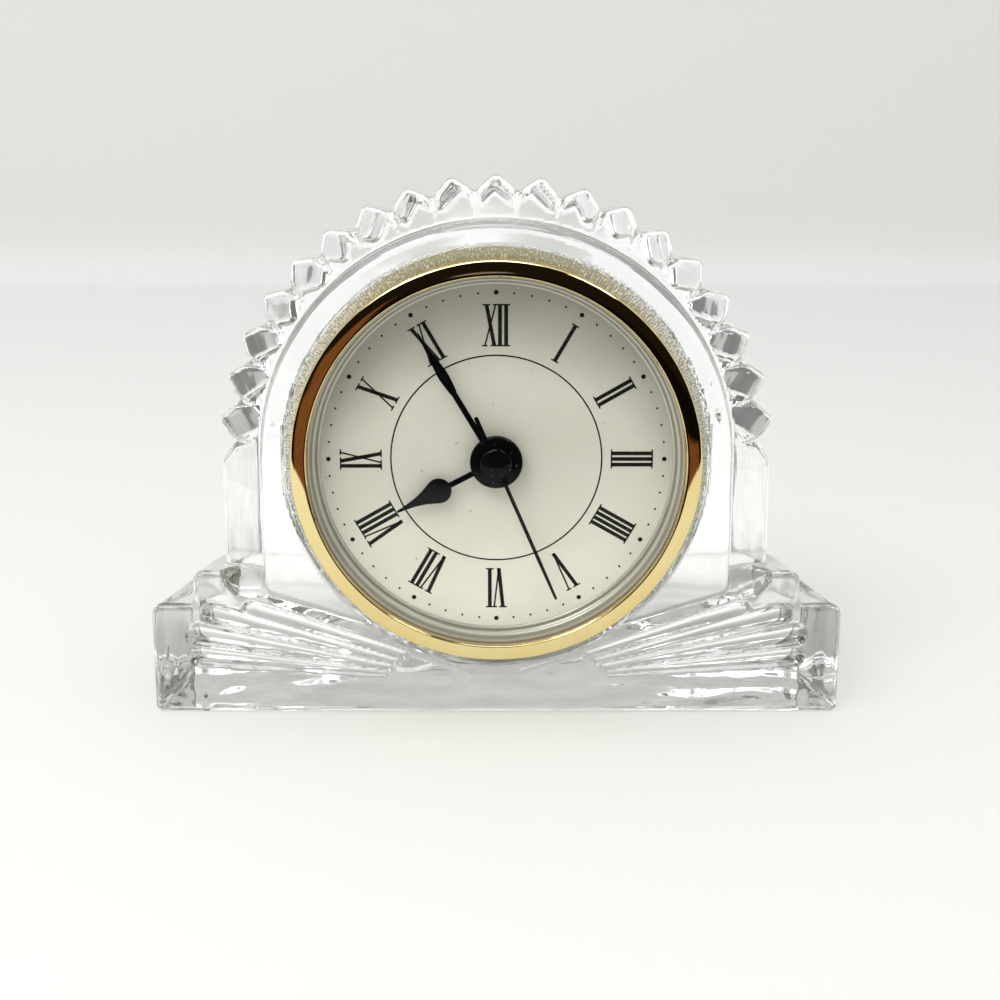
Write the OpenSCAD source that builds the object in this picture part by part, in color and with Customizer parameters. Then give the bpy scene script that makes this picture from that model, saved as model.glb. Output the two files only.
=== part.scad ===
// Crystal mantel clock: a pressed crystal block with a scalloped arch and a stepped base,
// bored through to take a push-in quartz clock with a gilt bezel.
// Millimetres. +Z up, +X to the right of someone who reads the dial, the dial faces -Y.
// The origin is at the middle of the footprint, on the surface that the clock stands on.

/* [Crystal block] */
// Width of the base at its front face
block_w = 128.6; // [124:0.2:134]
// Depth of the base from front to back
block_d = 42; // [38:1:46]
// Height of the middle of the dial above the table
dial_h = 48.4; // [47:0.2:50]
// Draft of the base's sides and top towards the back
draft = 6.8; // [5:0.2:8]
// Draft of the arch towards the back
arch_draft = 8.2; // [7:0.2:9]
// Height of the lower shoulder of the base
low_step_h = 21.4; // [20:0.2:22.5]
// Height of the upper shoulder of the base
high_step_h = 27.8; // [26:0.2:29]
// Distance of the riser between the shoulders from the middle
riser_x = 56.4; // [54:0.2:58]
// Number of teeth round the arch
tooth_count = 19; // [15:2:19]
// Angle from one tooth to the next
tooth_pitch = 9.2; // [8.8:0.1:9.3]
// Radius of the tooth tips
tip_r = 51.2; // [50.4:0.1:52]
// Radius of the valleys between the teeth
valley_r = 48.6; // [48:0.1:49]
// Half width of the plain sides of the arch
side_x = 50.9; // [50.4:0.1:51.5]
// Width of the fire-polished bevel round the edges
edge_bevel = 1.5; // [0.8:0.1:1.6]
// Width of the bevel round the foot of the base
foot_bevel = 1; // [0.6:0.1:1.2]
// Radius of the rounded shoulders of the base
step_round = 2.2; // [1.6:0.1:2.6]

/* [Boss and bore] */
// Radius of the smooth boss round the bezel
boss_r = 43.4; // [42.6:0.1:44]
// Width of the boss's rounded edge
boss_round = 1.6; // [1:0.1:2]
// Radius of the shallow seat for the clock's flange
seat_r = 39.2; // [39.1:0.1:39.8]
// Radius of the bore through the block
bore_r = 32.65; // [32.65:0.01:32.72]

/* [Bezel and dial] */
// Outer radius of the gilt bezel
bezel_r = 37.3; // [36.8:0.1:38]
// Radius of the bezel's opening
bezel_open_r = 34.3; // [33.8:0.1:34.5]
// Radius of the dial that shows inside the rebate ring
dial_open_r = 32.3; // [31.6:0.1:32.6]
// Radius of the bezel's rounded outer edge
bezel_round = 0.55; // [0.4:0.05:0.8]
// Fall of the bezel's face towards its outer edge
bezel_fall = 0.3; // [0.1:0.05:0.5]
// Radius of the dome of the lens
lens_dome_r = 260; // [220:10:320]
// Thickness of the lens
lens_t = 1.2; // [1:0.1:1.4]

/* [Hands] */
// Length of the hour hand
hour_len = 20.6; // [19:0.2:22]
// Length of the minute hand
minute_len = 27.8; // [26:0.2:29]
// Length of the seconds hand
seconds_len = 28.2; // [26:0.2:29.4]
// Length of the seconds hand's tail
tail_len = 9.5; // [7:0.5:11]
// Radius of the hub discs of the hour and minute hands
hub_r = 4.8; // [4.4:0.1:5.2]
// Dial angle of the hour hand, clockwise from twelve
hour_deg = 242.3; // [0:0.1:360]
// Dial angle of the minute hand
minute_deg = 329.4; // [0:0.1:360]
// Dial angle of the seconds hand
seconds_deg = 156.8; // [0:0.1:360]

/* [Movement] */
// Radius of the case that holds the movement
case_r = 31.4; // [31.4:0.01:31.42]
// Depth of the case behind the dial
case_d = 22; // [22:0.5:24]
// Module of the wheels under the dial
motion_module = 0.25; // [0.25:0.001:0.252]
// Radial clearance between a shaft and the hole that it turns in
shaft_gap = 0.05; // [0.03:0.01:0.06]
// Radius of the button cell
cell_r = 5.8; // [5.7:0.05:5.8]
// Thickness of the button cell
cell_t = 5.4; // [5:0.1:5.4]

/* [Hidden] */
$fn = 96;
eps = 0.01;

// Depths are measured from the face of the dial, positive towards the back.
block_front = -3;
boss_front = -0.5;
arch_front = 3.5;
block_back = block_front + block_d;
lens_edge = -4.6;
lens_clear_r = 35.3;
lens_rise = lens_dome_r - sqrt(pow(lens_dome_r, 2) - pow(lens_clear_r, 2));
lens_front = lens_edge - lens_rise;
dial_y = -(lens_front + block_back) / 2;

bezel_front = -5.6;
bezel_back = 1;
bezel_inner_r = 35.4;
bezel_edge = 0.4;
dial_t = 0.4;
flange_t = 0.6;
grip_flange_t = 0.9;
grip_flange_r = 38.8;
grip_ribs = 40;
grip_rib_w = 0.8;
grip_rib_h = 0.35;
grip_len = 15;
seat_gap = 0.05;
seat_floor = bezel_back + grip_flange_t + seat_gap;
case_wall = 1.2;
case_back_t = 1.3;
case_post_r = 2.2;

// Rim of the lens behind the bezel's lip
lens_inner_r = 33.9;
lens_rim_t = 1.4;
lens_lip = 0.35;
lens_rings = 9;

// Tiers of the ring between the lens and the dial, each as radius and depth
rebate_tiers = [[dial_open_r, 0], [dial_open_r, -0.5], [33, -0.9], [33.2, -1.9], [33.6, -2.2]];

// Clearance between two pieces that touch nowhere, and overlap that keeps a cut open
air = 0.35;
cut = 1;

// Axial stations of the movement
plate_y = 2.2;
plate_t = 1.2;
plate_r = 29.6;
bridge_y = 12.6;
bridge_t = 1;
bridge_r = 22;
board_y = 14.3;
board_t = 0.8;
board_r = 21;
board_post_at = 16;
board_post_r = 1.2;
board_post_angles = [20, 75, 315];
pillar_r = 1.6;
pillar_at = 19;
pillar_angles = [100, 222, 340];
screw_r = 0.9;
head_r = 1.7;
head_t = 0.9;
boss_at = 27.8;
boss_angles = [30, 150, 270];
plate_screw_len = 8;
bridge_screw_len = 4;
bridge_screw_r = 0.7;

// Pipes and arbors on the middle axis, from the inside out
seconds_r = 0.45;
minute_pipe_in = seconds_r + shaft_gap;
minute_pipe_r = 1.05;
hour_pipe_in = minute_pipe_r + shaft_gap;
hour_pipe_r = 1.65;
bush_in = hour_pipe_r + shaft_gap;
bush_r = 3.4;
arbor_r = 0.4;
pivot_hole_r = arbor_r + shaft_gap;

// Teeth of each wheel and pinion
cannon_teeth = 15;
motion_teeth = 45;
motion_leaves = 12;
hour_teeth = 48;
setter_teeth = 15;
rotor_leaves = 8;
inter_teeth = 40;
inter_leaves = 10;
seconds_teeth = 60;
seconds_leaves = 8;
third_teeth = 64;
third_leaves = 8;
centre_teeth = 60;

// Places of the arbors, seen from the front, as distance and angle from the +X side
motion_dir = 200;
motion_at = (cannon_teeth + motion_teeth) * motion_module / 2;
setter_gap = (motion_teeth + setter_teeth) * motion_module / 2;
setter_at = motion_at + setter_gap;
third_dir = 60;
third_module = 0.22;
third_at = (seconds_leaves + third_teeth) * third_module / 2;
centre_module = 2 * third_at / (third_leaves + centre_teeth);
inter_dir = -60;
inter_module = 0.23;
inter_at = (seconds_teeth + inter_leaves) * inter_module / 2;
rotor_module = 0.2;
rotor_gap = (inter_teeth + rotor_leaves) * rotor_module / 2;
rotor_at = inter_at + rotor_gap;
train_pivots = [[third_at, third_dir], [inter_at, inter_dir], [rotor_at, inter_dir]];

// Levels of the wheels
hour_wheel_y = 3.9;
motion_leaf_y = 3.7;
cannon_y = 4.85;
motion_wheel_y = 5.1;
centre_y = 7;
third_leaf_y = 6.8;
seconds_leaf_y = 8.2;
third_wheel_y = 8.6;
seconds_wheel_y = 10;
inter_leaf_y = 9.8;
inter_wheel_y = 11.3;
rotor_leaf_y = 11.1;
wheel_t = 0.6;
magnet_r = 2.4;
magnet_y = 6;
magnet_t = 2.2;
stator_y = 6.6;
stator_t = 0.8;
stator_rim = 1.6;
coil_z = -21;
coil_x = 2;
coil_len = 15;
coil_r = 3.2;
core_r = 1;
cheek_t = 0.8;

// Battery and the pieces round it, seen from the front
cell_pos = [10, 9.5];
cell_y = board_y + board_t + 0.25;
bay_in = 6.25;
bay_out = 7.3;
door_r = 7.9;
door_t = 1;
door_rim_r = 6.2;
door_rim_in = 5.3;
door_rim_len = 0.9;
slot_w = 1;
slot_len = 9;

knob_r = 3.6;
knob_t = 2.6;
knob_ribs = 20;
stem_r = 0.9;
stem_hole_r = stem_r + shaft_gap;

hour_hand_y = -2.2;
minute_hand_y = -3.1;
seconds_hand_y = -3.9;
hand_t = 0.35;
hub_t = 0.5;

// Puts a piece drawn round the middle of the dial's face in its place.
module at_dial() {
    translate([0, dial_y, dial_h]) children();
}

// A flat piece drawn as seen from the front, whose front face is at depth y.
module flat(y, t) {
    translate([0, y + t, 0]) rotate([90, 0, 0]) linear_extrude(t) children();
}

// A turned piece whose profile has radius across and depth up.
module turned(points) {
    rotate([-90, 0, 0]) rotate_extrude() polygon(points);
}

module ring(y, t, r_out, r_in) {
    turned([[r_in, y], [r_out, y], [r_out, y + t], [r_in, y + t]]);
}

module rod(y, t, r) {
    translate([0, y, 0]) rotate([-90, 0, 0]) cylinder(h = t, r = r);
}

// Moves a piece to a distance and angle from the middle, seen from the front.
module at(distance, angle) {
    translate([distance * cos(angle), 0, distance * sin(angle)]) children();
}

function polar(r, a) = [r * cos(a), r * sin(a)];

// Crystal block

function shrink(depth, angle) = depth * tan(angle);

// A skin through outlines of equal count round the middle, each given as its depth and points.
module loft(rings) {
    n = len(rings[0][1]);
    last = len(rings) - 1;
    points = [for (ring = rings) for (p = ring[1]) [p[0], ring[0], p[1]]];
    ends = [[0, rings[0][0], 0], [0, rings[last][0], 0]];
    walls = [for (k = [0:last - 1]) for (i = [0:n - 1])
        let (a = k * n + i, b = k * n + (i + 1) % n) each [[a, b, b + n], [a, b + n, a + n]]];
    front = [for (i = [0:n - 1]) [len(points), (i + 1) % n, i]];
    back = [for (i = [0:n - 1]) [len(points) + 1, last * n + i, last * n + (i + 1) % n]];
    polyhedron(concat(points, ends), concat(front, walls, back), convexity = 8);
}

// The toothed arch, counter-clockwise from its right foot, drawn inside by inset.
arch_foot = 12 - dial_h;
tip_half_deg = 0.7;
first_valley = 90 - tooth_count / 2 * tooth_pitch;
shoulder_drop = -1.6;
function arch_outline(inset) = concat(
    [[side_x - inset, arch_foot], [side_x - inset, shoulder_drop]],
    [polar(valley_r - inset, first_valley)],
    [for (i = [0:tooth_count - 1]) let (top = first_valley + (i + 0.5) * tooth_pitch) each [
        polar(tip_r - inset, top - tip_half_deg), polar(tip_r - inset, top + tip_half_deg),
        polar(valley_r - inset, top + tooth_pitch / 2)]],
    [[-side_x + inset, shoulder_drop], [-side_x + inset, arch_foot]]);

module arch() {
    back_inset = shrink(block_back - arch_front, arch_draft);
    loft([
        [arch_front, arch_outline(edge_bevel)],
        [arch_front + edge_bevel, arch_outline(0)],
        [block_back - edge_bevel, arch_outline(back_inset)],
        [block_back, arch_outline(back_inset + edge_bevel)]]);
}

// One step of the base: its front, plan and side views meet in a block with drafted sides
// and top, an upright foot and bevelled edges.
module base_step(half, high) {
    in = shrink(block_d, draft);
    b = edge_bevel;
    foot = foot_bevel;
    intersection() {
        flat(block_front - cut, block_d + 2 * cut) translate([0, -dial_h]) polygon(concat(
            [[half - foot, 0], [half, foot]],
            [for (a = [0:30:90]) [half - step_round * (1 - cos(a)), high - step_round * (1 - sin(a))]],
            [for (a = [90:-30:0]) [-half + step_round * (1 - cos(a)), high - step_round * (1 - sin(a))]],
            [[-half, foot], [-half + foot, 0]]));
        translate([0, 0, -dial_h - cut]) linear_extrude(high + 2 * cut) polygon([
            [half - b, block_front], [half, block_front + b], [half - in, block_back - b],
            [half - in - b, block_back], [-half + in + b, block_back], [-half + in, block_back - b],
            [-half, block_front + b], [-half + b, block_front]]);
        translate([-half - cut, 0, -dial_h]) rotate([90, 0, 90]) linear_extrude(2 * (half + cut)) polygon([
            [block_front, foot], [block_front + foot, 0], [block_back - foot, 0],
            [block_back, foot], [block_back, high - in - b], [block_back - b, high - in],
            [block_front + b, high], [block_front, high - b]]);
    }
}

// The middle of the apron dips in a wide V below the boss, and its ledge slopes up to the arch.
ledge_x = 50.4;
apron_out = [47.9, 22.6];
apron_in = [4.6, 8.4];
ledge_slope = 38;
ledge_drop = 2.2;
module apron_cut() {
    up = cos(ledge_slope);
    reach = 80;
    outer_z = high_step_h - ledge_drop;
    intersection() {
        translate([0, block_front, -dial_h]) rotate([90 + ledge_slope, 0, 0])
            translate([0, 0, -reach]) linear_extrude(2 * reach) polygon([
                [-ledge_x, reach], [-ledge_x, outer_z * up], [-apron_out[0], apron_out[1] * up],
                [-apron_in[0], apron_in[1] * up], [apron_in[0], apron_in[1] * up],
                [apron_out[0], apron_out[1] * up], [ledge_x, outer_z * up], [ledge_x, reach]]);
        translate([-ledge_x - cut, block_front - cut, -dial_h])
            cube([2 * (ledge_x + cut), arch_front + edge_bevel - block_front + cut, reach]);
    }
}

module base() {
    difference() {
        union() {
            base_step(block_w / 2, low_step_h);
            base_step(riser_x, high_step_h);
        }
        apron_cut();
    }
}

// The smooth boss that carries the bezel: a disc with a rounded edge on upright cheeks.
cheek_foot = 9;
cheek_side_foot = 14;
module boss() {
    depth = arch_front + 1 - boss_front;
    turned([[0, boss_front], [boss_r - boss_round, boss_front],
        for (a = [75:-15:0]) [boss_r - boss_round * (1 - cos(a)), boss_front + boss_round * (1 - sin(a))],
        [boss_r, boss_front + depth], [0, boss_front + depth]]);
    flat(boss_front, depth) translate([-boss_r + boss_round, cheek_foot - dial_h])
        square([2 * (boss_r - boss_round), dial_h - cheek_foot]);
    flat(boss_front + boss_round, depth - boss_round) translate([-boss_r, cheek_side_foot - dial_h])
        square([2 * boss_r, dial_h - cheek_side_foot]);
}

// The fan of flutes cut in the apron: inner end, outer end, inner and outer width.
flutes = [
    [[-17.3, 11.4], [-45.2, 20.3], 1.4, 4],
    [[-19, 10.1], [-52.4, 19.6], 1.2, 4.2],
    [[-20, 8.9], [-55.5, 15.4], 1.2, 4.2],
    [[-21, 7.8], [-55.5, 11.2], 1, 3.6]];
groove = 0.58;
groove_half = 0.5;
module flute(inner, outer, w_in, w_out) {
    run = outer - inner;
    length = norm(run);
    sink = sqrt(pow(groove, 2) - pow(groove_half, 2));
    tilt = atan2(sink * (w_out - w_in), length);
    translate([inner[0], block_front - sink * w_in, inner[1] - dial_h])
        rotate([0, -atan2(run[1], run[0]), 0]) rotate([0, 0, -tilt]) {
            rotate([0, 90, 0]) cylinder(h = length, r1 = groove * w_in, r2 = groove * w_out, $fn = 48);
            translate([length, 0, 0]) sphere(r = groove * w_out, $fn = 48);
        }
}

module crystal_block() {
    color([0.9, 0.93, 0.93, 0.45]) at_dial() difference() {
        union() {
            arch();
            base();
            boss();
        }
        rod(boss_front - cut, block_back - boss_front + 2 * cut, bore_r);
        rod(boss_front - cut, seat_floor - boss_front + cut, seat_r);
        for (side = [0, 1]) mirror([side, 0, 0]) for (f = flutes) flute(f[0], f[1], f[2], f[3]);
    }
}

// Bezel, lens and dial

module bezel() {
    side = bezel_front + bezel_fall + bezel_round;
    color("goldenrod") at_dial() turned([
        [bezel_inner_r, bezel_back], [bezel_r - bezel_edge, bezel_back], [bezel_r, bezel_back - bezel_edge],
        for (a = [0:15:90]) [bezel_r - bezel_round * (1 - cos(a)), side - bezel_round * sin(a)],
        [bezel_open_r + bezel_edge, bezel_front], [bezel_open_r, bezel_front + bezel_edge],
        [bezel_open_r, lens_edge - lens_lip], [bezel_inner_r, lens_edge + lens_lip / 4]]);
}

function dome(r, y, radius) = y + radius - sqrt(pow(radius, 2) - pow(r, 2));
module lens() {
    apex = lens_front;
    color([0.85, 0.9, 0.9, 0.3]) at_dial() turned([
        for (i = [0:lens_rings]) let (r = bezel_open_r * i / lens_rings) [r, dome(r, apex, lens_dome_r)],
        [lens_clear_r, lens_edge + lens_lip], [lens_clear_r, lens_edge + lens_rim_t],
        [lens_inner_r, lens_edge + lens_rim_t],
        for (i = [lens_rings:-1:0]) let (r = lens_inner_r * i / lens_rings)
            [r, dome(r, apex + lens_t, lens_dome_r)]]);
}

module rebate_ring() {
    front = lens_edge + lens_rim_t;
    color("silver") at_dial() turned(concat(
        [[lens_inner_r, front], [bezel_inner_r, front], [bezel_inner_r, 0]], rebate_tiers));
}

module dial() {
    color("ivory") at_dial() ring(0, dial_t, bezel_inner_r, bush_r + 0.2);
}

// Case and the ribbed ring that grips the bore

module movement_case() {
    back = case_d - case_back_t;
    color("linen") at_dial() difference() {
        union() {
            ring(dial_t, flange_t, bezel_inner_r, case_r - case_wall);
            ring(dial_t, case_d - dial_t, case_r, case_r - case_wall);
            rod(back, case_back_t, case_r);
            for (a = boss_angles) at(boss_at, a)
                rod(plate_y + plate_t, back - plate_y - plate_t, case_post_r);
            at_cell() ring(cell_y + 0.2, back - cell_y, bay_out, bay_in);
        }
        for (a = boss_angles) at(boss_at, a) rod(plate_y, plate_screw_len, screw_r);
        at_cell() rod(back - eps, case_back_t + cut, bay_in);
        at(setter_at, motion_dir) rod(back - cut, case_back_t + 2 * cut, stem_hole_r);
    }
}

module grip_ring() {
    rib_r = bore_r - shaft_gap;
    band_r = rib_r - grip_rib_h;
    start = bezel_back + grip_flange_t;
    color("darkkhaki") at_dial() {
        ring(bezel_back, grip_flange_t, grip_flange_r, case_r);
        ring(start, grip_len, band_r, case_r);
        intersection() {
            ring(start, grip_len, rib_r, case_r);
            union() for (i = [0:grip_ribs - 1]) rotate([0, i * 360 / grip_ribs, 0])
                translate([case_r + eps, start, -grip_rib_w / 2])
                    cube([rib_r - case_r, grip_len, grip_rib_w]);
        }
    }
}

// Wheels

// Outline of a wheel or pinion with radial flanks and pointed-arch tips, which has one tooth
// pointing at angle phase. The teeth are thinner than half the pitch by the backlash.
backlash = 0.05;
dedendum = 1.2;
addendum = 0.8;
tooth_shoulder = 0.35;
function gear_points(teeth, m, phase) =
    let (rp = teeth * m / 2, root = rp - dedendum * m, tip = rp + addendum * m,
         shoulder = rp + tooth_shoulder * m, half = 90 / teeth - backlash / rp * 90 / PI)
    [for (i = [0:teeth - 1]) for (p = [[root, -1.02], [rp, -1], [shoulder, -0.76], [tip, -0.3],
        [tip, 0.3], [shoulder, 0.76], [rp, 1], [root, 1.02]])
        polar(p[0], phase + i * 360 / teeth + p[1] * half)];

module gear(y, t, teeth, m, phase) {
    flat(y, t) polygon(gear_points(teeth, m, phase));
}

// A wheel with a rim, four spokes and a hub round its hole.
rim_w = 0.8;
spoke_w = 0.9;
module spoked_gear(y, t, teeth, m, phase, hub) {
    rp = teeth * m / 2;
    rim = rp - dedendum * m - rim_w;
    flat(y, t) difference() {
        polygon(gear_points(teeth, m, phase));
        difference() {
            circle(r = rim);
            circle(r = hub);
            for (a = [0, 90]) rotate(phase + a) square([2 * rim + 1, spoke_w], center = true);
        }
    }
}

// Tooth phase of the wheel at the far end of a pair, so that a gap of it faces the tooth.
function gap_phase(teeth, direction) = direction + 180 + 180 / teeth;

module hour_wheel() {
    tip = hour_hand_y;
    color("gold") at_dial() difference() {
        union() {
            spoked_gear(hour_wheel_y, wheel_t, hour_teeth, motion_module,
                gap_phase(hour_teeth, motion_dir + 180), 2.6);
            rod(tip, hour_wheel_y + wheel_t - tip, hour_pipe_r);
        }
        rod(tip - 1, 10, hour_pipe_in);
    }
}

module cannon_pinion() {
    tip = minute_hand_y;
    back = centre_y + 0.9;
    color("gainsboro") at_dial() difference() {
        union() {
            gear(cannon_y, 1.5, cannon_teeth, motion_module, motion_dir);
            rod(tip, back - tip, minute_pipe_r);
        }
        rod(tip - 1, 14, minute_pipe_in);
    }
}

module motion_wheel() {
    color("gold") at_dial() at(motion_at, motion_dir) difference() {
        union() {
            spoked_gear(motion_wheel_y, wheel_t, motion_teeth, motion_module,
                gap_phase(motion_teeth, motion_dir), 1.5);
            gear(motion_leaf_y, motion_wheel_y - motion_leaf_y + eps, motion_leaves,
                motion_module, motion_dir + 180);
        }
        rod(motion_leaf_y - 1, 4, 0.5 + shaft_gap);
    }
}

module motion_post() {
    color("silver") at_dial() at(motion_at, motion_dir) rod(plate_y, 3.9, 0.5);
}

module setting_stem() {
    color("silver") at_dial() at(setter_at, motion_dir) {
        gear(motion_wheel_y - 0.1, 1.1, setter_teeth, motion_module, gap_phase(setter_teeth, motion_dir));
        rod(motion_wheel_y + 0.5, case_d + 1.6 - motion_wheel_y, stem_r);
        rod(plate_y + 0.2, motion_wheel_y - plate_y, arbor_r);
    }
}

module setting_knob() {
    start = case_d + air;
    color("black") at_dial() at(setter_at, motion_dir) difference() {
        union() {
            rod(start, knob_t, knob_r - 0.3);
            for (i = [0:knob_ribs - 1]) rotate([0, i * 360 / knob_ribs, 0])
                translate([knob_r - 0.6, start, -0.25]) cube([0.6, knob_t - 0.4, 0.5]);
        }
        rod(start - 1, case_d + 2.1 - start + 1, stem_r);
    }
}

module centre_wheel() {
    color("gold") at_dial() difference() {
        spoked_gear(centre_y, wheel_t, centre_teeth, centre_module,
            gap_phase(centre_teeth, third_dir + 180), 2.2);
        rod(centre_y - 1, 3, minute_pipe_r + shaft_gap);
    }
}

module third_wheel() {
    color("gold") at_dial() at(third_at, third_dir) {
        spoked_gear(third_wheel_y, wheel_t, third_teeth, third_module,
            gap_phase(third_teeth, third_dir), 1.6);
        gear(third_leaf_y, 1, third_leaves, centre_module, third_dir + 180);
        rod(plate_y + 0.2, bridge_y + bridge_t - 0.3 - plate_y, arbor_r);
    }
}

module seconds_wheel() {
    tip = seconds_hand_y;
    color("gold") at_dial() {
        spoked_gear(seconds_wheel_y, wheel_t, seconds_teeth, inter_module,
            gap_phase(seconds_teeth, inter_dir + 180), 1.6);
        gear(seconds_leaf_y, 1.3, seconds_leaves, third_module, third_dir);
        rod(tip, bridge_y + bridge_t - 0.1 - tip, seconds_r);
    }
}

module intermediate_wheel() {
    color("whitesmoke") at_dial() at(inter_at, inter_dir) {
        gear(inter_leaf_y, 1, inter_leaves, inter_module, inter_dir + 180);
        spoked_gear(inter_wheel_y, 0.5, inter_teeth, rotor_module,
            gap_phase(inter_teeth, inter_dir + 180), 1.6);
        rod(plate_y + 0.2, bridge_y + bridge_t - 0.3 - plate_y, arbor_r);
    }
}

module rotor_pinion() {
    color("whitesmoke") at_dial() at(rotor_at, inter_dir) difference() {
        union() {
            gear(rotor_leaf_y, 0.9, rotor_leaves, rotor_module, inter_dir + 180);
            rod(plate_y + 0.2, bridge_y + bridge_t - 0.3 - plate_y, arbor_r);
            rod(magnet_y - 0.5, 0.5, 1.2);
        }
    }
}

module rotor_magnet() {
    color("dimgray") at_dial() at(rotor_at, inter_dir) ring(magnet_y, magnet_t, magnet_r, arbor_r);
}

// Hands

hub_edge = 0.25;
stem_w = 1.06;
module hand_place(deg) {
    rotate([0, deg, 0]) children();
}

// A turned boss with a domed edge that carries a hand on its pipe.
module hub(y, t, r, hole) {
    turned([[hole, y], [r - hub_edge, y], [r, y + hub_edge], [r, y + t], [hole, y + t]]);
}

module hour_hand() {
    leaf = 2.35;
    leaf_at = 11.9;
    color("black") at_dial() hand_place(hour_deg) {
        hub(hour_hand_y, hub_t, hub_r, hour_pipe_r);
        flat(hour_hand_y + 0.1, hand_t) {
            translate([-stem_w / 2, hub_r - 0.8]) square([stem_w, leaf_at - hub_r]);
            translate([0, leaf_at]) circle(r = leaf);
            polygon([[-2.24, leaf_at + 0.7], [-1.7, leaf_at + 2], [-0.95, leaf_at + 4], [-0.5, leaf_at + 6.2],
                [-0.2, hour_len], [0.2, hour_len], [0.5, leaf_at + 6.2], [0.95, leaf_at + 4],
                [1.7, leaf_at + 2], [2.24, leaf_at + 0.7]]);
        }
    }
}

module minute_hand() {
    leaf_at = 15;
    color("black") at_dial() hand_place(minute_deg) {
        hub(minute_hand_y, hub_t, hub_r, minute_pipe_r);
        flat(minute_hand_y + 0.1, hand_t) {
            translate([-stem_w / 2, hub_r - 0.8]) square([stem_w, leaf_at - hub_r + 1]);
            polygon([[-0.62, leaf_at], [-0.93, leaf_at + 2.6], [-0.95, leaf_at + 4], [-0.7, leaf_at + 6.6],
                [-0.42, leaf_at + 9], [-0.15, minute_len], [0.15, minute_len], [0.42, leaf_at + 9],
                [0.7, leaf_at + 6.6], [0.95, leaf_at + 4], [0.93, leaf_at + 2.6], [0.62, leaf_at]]);
        }
    }
}

cap_r = 2.95;
seconds_w = 0.7;
tail_w = 0.8;
module seconds_hand() {
    color("black") at_dial() hand_place(seconds_deg) {
        turned([[0, seconds_hand_y - 0.5], [cap_r - 0.9, seconds_hand_y - 0.45],
            [cap_r - 0.25, seconds_hand_y - 0.25], [cap_r, seconds_hand_y], [cap_r, seconds_hand_y + 0.5],
            [seconds_r, seconds_hand_y + 0.5], [seconds_r, seconds_hand_y], [0, seconds_hand_y]]);
        flat(seconds_hand_y, hand_t) {
            translate([-seconds_w / 2, cap_r - 0.5]) square([seconds_w, seconds_len - cap_r + 0.5]);
            translate([-tail_w / 2, -tail_len + tail_w / 2]) square([tail_w, tail_len - cap_r]);
            translate([0, -tail_len + tail_w / 2]) circle(d = tail_w);
        }
    }
}

// Movement frame

module main_plate() {
    color("lightsteelblue") at_dial() difference() {
        union() {
            rod(plate_y, plate_t, plate_r);
            for (a = pillar_angles) at(pillar_at, a)
                rod(plate_y, bridge_y - plate_y, pillar_r);
        }
        rod(plate_y - cut, plate_t + 2 * cut, bush_r);
        for (a = boss_angles) at(boss_at, a) rod(plate_y - cut, plate_t + 2 * cut, screw_r + 0.1);
        for (a = pillar_angles) at(pillar_at, a)
            rod(bridge_y - bridge_screw_len, bridge_screw_len + cut, bridge_screw_r);
        at(motion_at, motion_dir) rod(plate_y - cut, plate_t + 2 * cut, 0.5);
        for (p = concat(train_pivots, [[setter_at, motion_dir]]))
            at(p[0], p[1]) rod(plate_y - cut, plate_t + 2 * cut, pivot_hole_r);
    }
}

module centre_bush() {
    color("gold") at_dial() ring(-1.3, plate_y + plate_t + 1.3, bush_r, bush_in);
}

driver_w = 0.4;
driver_depth = 0.4;
module screw(y, length, shank) {
    difference() {
        union() {
            rod(y - head_t, head_t, head_r);
            rod(y, length, shank);
        }
        translate([-head_r, y - head_t - cut, -driver_w / 2])
            cube([2 * head_r, driver_depth + cut, driver_w]);
    }
}

module plate_screws() {
    color("silver") at_dial() for (a = boss_angles) at(boss_at, a)
        screw(plate_y, plate_screw_len - 0.5, screw_r);
}

// Round windows of the bridge: distance, angle and radius
bridge_windows = [[16, 160, 4], [16, 285, 3]];
module bridge() {
    color("lightsteelblue") at_dial() difference() {
        union() {
            rod(bridge_y, bridge_t, bridge_r);
            for (a = board_post_angles) at(board_post_at, a) rod(bridge_y, board_y - bridge_y, board_post_r);
        }
        rod(bridge_y - cut, bridge_t + 2 * cut, seconds_r + shaft_gap);
        for (a = pillar_angles) at(pillar_at, a) rod(bridge_y - cut, bridge_t + 2 * cut, screw_r);
        for (p = train_pivots) at(p[0], p[1]) rod(bridge_y - cut, bridge_t + 2 * cut, pivot_hole_r);
        at(setter_at, motion_dir) rod(bridge_y - cut, bridge_t + 2 * cut, stem_hole_r + 0.4);
        for (w = bridge_windows) at(w[0], w[1]) rod(bridge_y - cut, bridge_t + 2 * cut, w[2]);
    }
}

bridge_head_r = 1.5;
bridge_head_t = 0.6;
module bridge_screws() {
    face = bridge_y + bridge_t;
    color("silver") at_dial() for (a = pillar_angles) at(pillar_at, a)
        translate([0, 2 * face, 0]) mirror([0, 1, 0]) difference() {
            union() {
                rod(face - bridge_head_t, bridge_head_t, bridge_head_r);
                rod(face, bridge_screw_len - 0.5, bridge_screw_r);
            }
            translate([-bridge_head_r - cut, face - bridge_head_t - cut + driver_depth / 2, -driver_w / 2])
                cube([2 * (bridge_head_r + cut), cut, driver_w]);
        }
}

// Electric parts

// A straight bar of metal from one point to another, seen from the front.
module bar(from, to, w) {
    run = to - from;
    translate(from) rotate(atan2(run[1], run[0])) translate([0, -w / 2]) square([norm(run), w]);
}

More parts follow.
